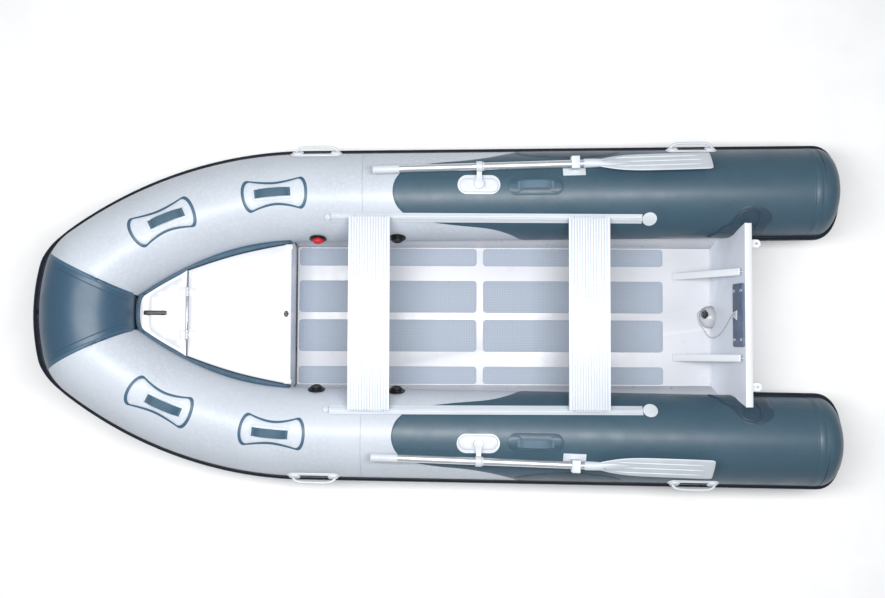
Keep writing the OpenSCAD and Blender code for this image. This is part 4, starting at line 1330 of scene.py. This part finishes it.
patch("transom_cap", plate_form(0.018, 0.0, 0.035, 0.890, 0.008), 0.0, 0.0012, hull_paint, pitch=0.06,
      shape=lambda a, y, h: on_transom(a, y, TRANSOM_H + h))

KNEE_X = -1.190
KNEE_Y = 0.2095
KNEE_Z = 0.520
KNEE_TOP_X = TRANSOM_X + 0.001 - (KNEE_Z - FLOOR_Z) * math.tan(RAKE)
for word, side in SIDES.items():
    # White face of the knee's flange, the paint's own colour above the knee's painted shade, and a weld bead
    # along its foot in the same painted shade
    low, high = Vector((KNEE_X, 0, FLOOR_Z + 0.001)), Vector((KNEE_TOP_X + 0.023, 0, KNEE_Z))
    along = (high - low).normalized()
    out = Vector((-along.z, 0, along.x))
    out = out if out.z > 0 else -out
    middle = (low + high) / 2 + Vector((0, KNEE_Y, 0))
    patch("knee_flange_" + word, round_form((high - low).length - 0.004, 0.033, 0.004), 0.0, 0.0010,
          hull_paint, side, pitch=0.05,
          shape=lambda u, v, h: middle + along * u + out * h + Vector((0, v, 0)))
    foot = [Vector((x, KNEE_Y + 0.004, FLOOR_Z + 0.0015))
            for x in steps(KNEE_X - 0.01, TRANSOM_X + 0.004, 0.02)]
    sweep("knee_weld_" + word, foot, circle_form(0.0022, 8), painted_shade_grey, side=side)
    # Weld bead between the side of the floor and the transom
    bead = [on_transom(-0.002, y, 0.001) for y in steps(0.070, 0.352, 0.02)]
    sweep("transom_weld_" + word, bead, circle_form(0.0026, 8), deck_paint, side=side)

# Rolled rim round the floor's half of the drain well; the well lies half on the floor and half on the transom
WELL_X = -1.384
WELL_R = 0.0595
rim_floor = [Vector((WELL_X + WELL_R * math.cos(a), WELL_R * math.sin(a), FLOOR_Z + 0.0008))
             for a in (math.radians(-94 + 188 * k / 32) for k in range(33))]
sweep("drain_well_rim", rim_floor, circle_form(0.0024, 8), deck_paint)
sweep("lanyard_tab_eye", [on_transom(-0.0145, y, h) for y, h in oval(-0.006, 0.2875, 0.005, 0.005, 20)],
      circle_form(0.0011, 6), pin_steel, up=Vector((1, 0, 0)), loop=True)
for k, u in enumerate((-0.12, 0.12)):
    for j, v in enumerate((-0.035, 0.035)):
        patch("motor_pad_bolt_%d_%d" % (k, j), oval(u, TRANSOM_H - 0.058 + v, 0.009, 0.009, 16), 0.012, 0.002,
              pin_steel, pitch=0.01, shape=on_transom_face)


# ---------------------------------------------------------------- valves
valve_lift = math.radians(18)
VALVE_X = (0.619, 0.226)
VALVE_CAPS = {"starboard": ("valve_cap_1", "valve_cap_3"), "port": ("valve_cap_2", "valve_cap_4")}
for word, side in SIDES.items():
    for k, x in enumerate(VALVE_X):
        out = Vector((0, -math.cos(valve_lift), math.sin(valve_lift)))
        up = Vector((0, math.sin(valve_lift), math.cos(valve_lift)))
        seat = Vector((x, side_y(x), TUBE_Z)) + out * (TUBE_R + 0.001)
        body = VALVE_CAPS[word][k]
        material = red_plastic if body == "valve_cap_1" else black_plastic
        rings = []
        for h, r in ((0.0185, 0.0225), (0.0215, 0.0222), (0.0225, 0.0208), (0.0222, 0.0165), (0.0205, 0.0150),
                     (0.0205, 0.0060), (0.0215, 0.0050), (0.0215, 0.0002)):
            rings.append([seat + out * h + Vector((p, 0, 0)) + up * q for p, q in circle_form(r, 32)])
        loft("valve_face_%s_%d" % (word, k), rings, material, body, side, caps=False)
        strap_path = [seat + out * (0.008 + 0.004 * math.sin(t)) + Vector((math.cos(t * 2) * 0.034, 0, 0))
                      + up * (0.034 * math.sin(t * 2)) for t in (math.pi * i / 20 for i in range(11))]
        sweep("valve_strap_%s_%d" % (word, k), strap_path, round_form(0.004, 0.0018, 0.0008, 2),
              black_plastic, side=side, up=out)


# ---------------------------------------------------------------- rowlock and oar details
ROWLOCK_X, ROWLOCK_Y = -0.172, 0.620
OAR_Y = 0.7008
OAR_Z = 0.610
OAR_TOE = math.radians(2)
BLADE_ROLL = math.radians(-50)
BLADE_DISH = 0.6


def on_oar(u, v=0.0, w=0.0, roll=0.0):
    v, w = v * math.cos(roll) - w * math.sin(roll), v * math.sin(roll) + w * math.cos(roll)
    return Vector((ROWLOCK_X + u * math.cos(OAR_TOE) + v * math.sin(OAR_TOE),
                   OAR_Y - u * math.sin(OAR_TOE) + v * math.cos(OAR_TOE), OAR_Z + w))


def turned(name, profile, material, body, side, n=32, caps=True):
    """Round part turned about the oar's line, from (distance along, radius) pairs."""
    rings = [[on_oar(u, v, w) for v, w in circle_form(r, n)] for u, r in profile]
    return loft(name, list(reversed(rings)), material, body, side, caps=caps)


def on_base(x, y, h):
    """Point h above the foot of the rowlock's base, on top of the tube."""
    return Vector((x, y, TUBE_Z + TUBE_R + 0.004 + h))


for word, side in SIDES.items():
    # Raised dome of the rowlock's base, with a greyer plate of painted shade for the slot that its tongue
    # lies in
    dome = plate_form(ROWLOCK_X, ROWLOCK_Y - 0.004, 0.180, 0.060, 0.0295, 6)
    patch("rowlock_dome_" + word, dome, 0.0, 0.0055, white_plastic, side, pitch=0.02, shape=on_base)
    recess = plate_form(ROWLOCK_X, ROWLOCK_Y + 0.008, 0.036, 0.052, 0.003, 3)
    patch("rowlock_slot_shade_" + word, recess, 0.0082, 0.0006, painted_shade_grey, side, pitch=0.02, shape=on_base)

blade_form = [
    (-0.560, 0.024), (-0.560, -0.024), (-0.615, -0.046), (-0.670, -0.062), (-0.730, -0.070),
    (-0.800, -0.074), (-1.080, -0.076), (-1.102, -0.072), (-1.106, -0.060), (-1.115, 0.060),
    (-1.112, 0.071), (-1.090, 0.074), (-0.800, 0.074), (-0.730, 0.070), (-0.670, 0.062), (-0.615, 0.046)]
blade_outline = corner_cut(blade_form, 2)
for word, side in SIDES.items():
    body = "oar_" + word
    ribs = [(0.386 + 0.118 * k / 96, 0.0198 + 0.0007 * math.cos(math.pi * k / 4)) for k in range(97)]
    grip = turned("oar_grip_sleeve_" + word, [(0.382, 0.0180), (0.383, 0.0196)] + ribs
                  + [(0.505, 0.0222), (0.508, 0.0222), (0.510, 0.0205), (0.510, 0.0010)],
                  white_plastic, body, side)
    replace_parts(grip, "oar_grip_" + word)
    turned("oar_collar_" + word, [(-0.024, 0.0176), (-0.023, 0.0215), (-0.015, 0.0218), (-0.0145, 0.0176)],
           white_plastic, body, side, caps=False)
    for part, turn in (("face", 1), ("back", -1)):
        sheet = patch("oar_blade_%s_%s" % (part, word), blade_outline, 0.0, 0.003, blade_plastic, side,
                      pitch=0.02, body=body,
                      shape=lambda u, v, h: on_oar(u, v, turn * h - BLADE_DISH * v * v, BLADE_ROLL))
        if part == "face":
            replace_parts(sheet, "oar_blade_" + word)
    for k, v in enumerate((-0.040, 0.0, 0.040)):
        u0, u1 = (-1.070, -0.640) if k != 1 else (-1.085, -0.600)
        rings = []
        for i in range(21):
            t = i / 20
            fat = (1 - abs(2 * t - 1) ** 7) ** 0.5 if 0 < t < 1 else 0.02
            lean = v * min(1.0, (u1 + 0.10 - (u0 + (u1 - u0) * t)) / 0.16 * 0.25 + 0.75) if k != 1 else 0.0
            section = oval(lean, -BLADE_DISH * lean * lean, 0.0042 * fat, 0.0072 * fat, 12)
            rings.append([on_oar(u0 + (u1 - u0) * t, p, q, BLADE_ROLL) for p, q in section])
        loft("oar_blade_rib_%s_%d" % (word, k), list(reversed(rings)), blade_plastic, body, side)
    rings = []
    for u, across, thick in ((-0.500, 0.0205, 0.0205), (-0.502, 0.0215, 0.0215), (-0.540, 0.0215, 0.0210),
                             (-0.575, 0.0225, 0.0190), (-0.610, 0.0250, 0.0140), (-0.650, 0.0270, 0.0090),
                             (-0.700, 0.0240, 0.0055), (-0.735, 0.0120, 0.0030)):
        rings.append([on_oar(u, v, w, BLADE_ROLL) for v, w in oval(0.0, 0.0, across, thick)])
    loft("oar_throat_" + word, rings, blade_plastic, body, side)


# ---------------------------------------------------------------- stage
def stage():
    """Pale floor under the boat, soft daylight all round and one wide strip light above."""
    scene = bpy.context.scene
    scene.view_settings.view_transform = "Standard"
    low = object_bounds()[0].z - 0.002
    half = 20.0
    mesh = bpy.data.meshes.new("studio_floor")
    mesh.from_pydata([(-half, -half, low), (half, -half, low), (half, half, low), (-half, half, low)], [],
                     [(0, 1, 2, 3)])
    mesh.materials.append(paint("studio_floor_paint", srgb(248, 248, 248), 0.9, 0.0))
    placed("studio_floor", mesh)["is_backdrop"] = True
    world = bpy.data.worlds.new("daylight")
    scene.world = world
    world.use_nodes = True
    sky = world.node_tree.nodes["Background"]
    sky.inputs["Color"].default_value = (0.95, 0.97, 1.0, 1.0)
    sky.inputs["Strength"].default_value = 0.38
    lamp = bpy.data.lights.new("strip_light", "AREA")
    lamp.energy = 300.0
    lamp.shape = "RECTANGLE"
    lamp.size, lamp.size_y = 5.0, 1.0
    placed("strip_light", lamp).location = (0.2, 0.0, 5.0)


stage()
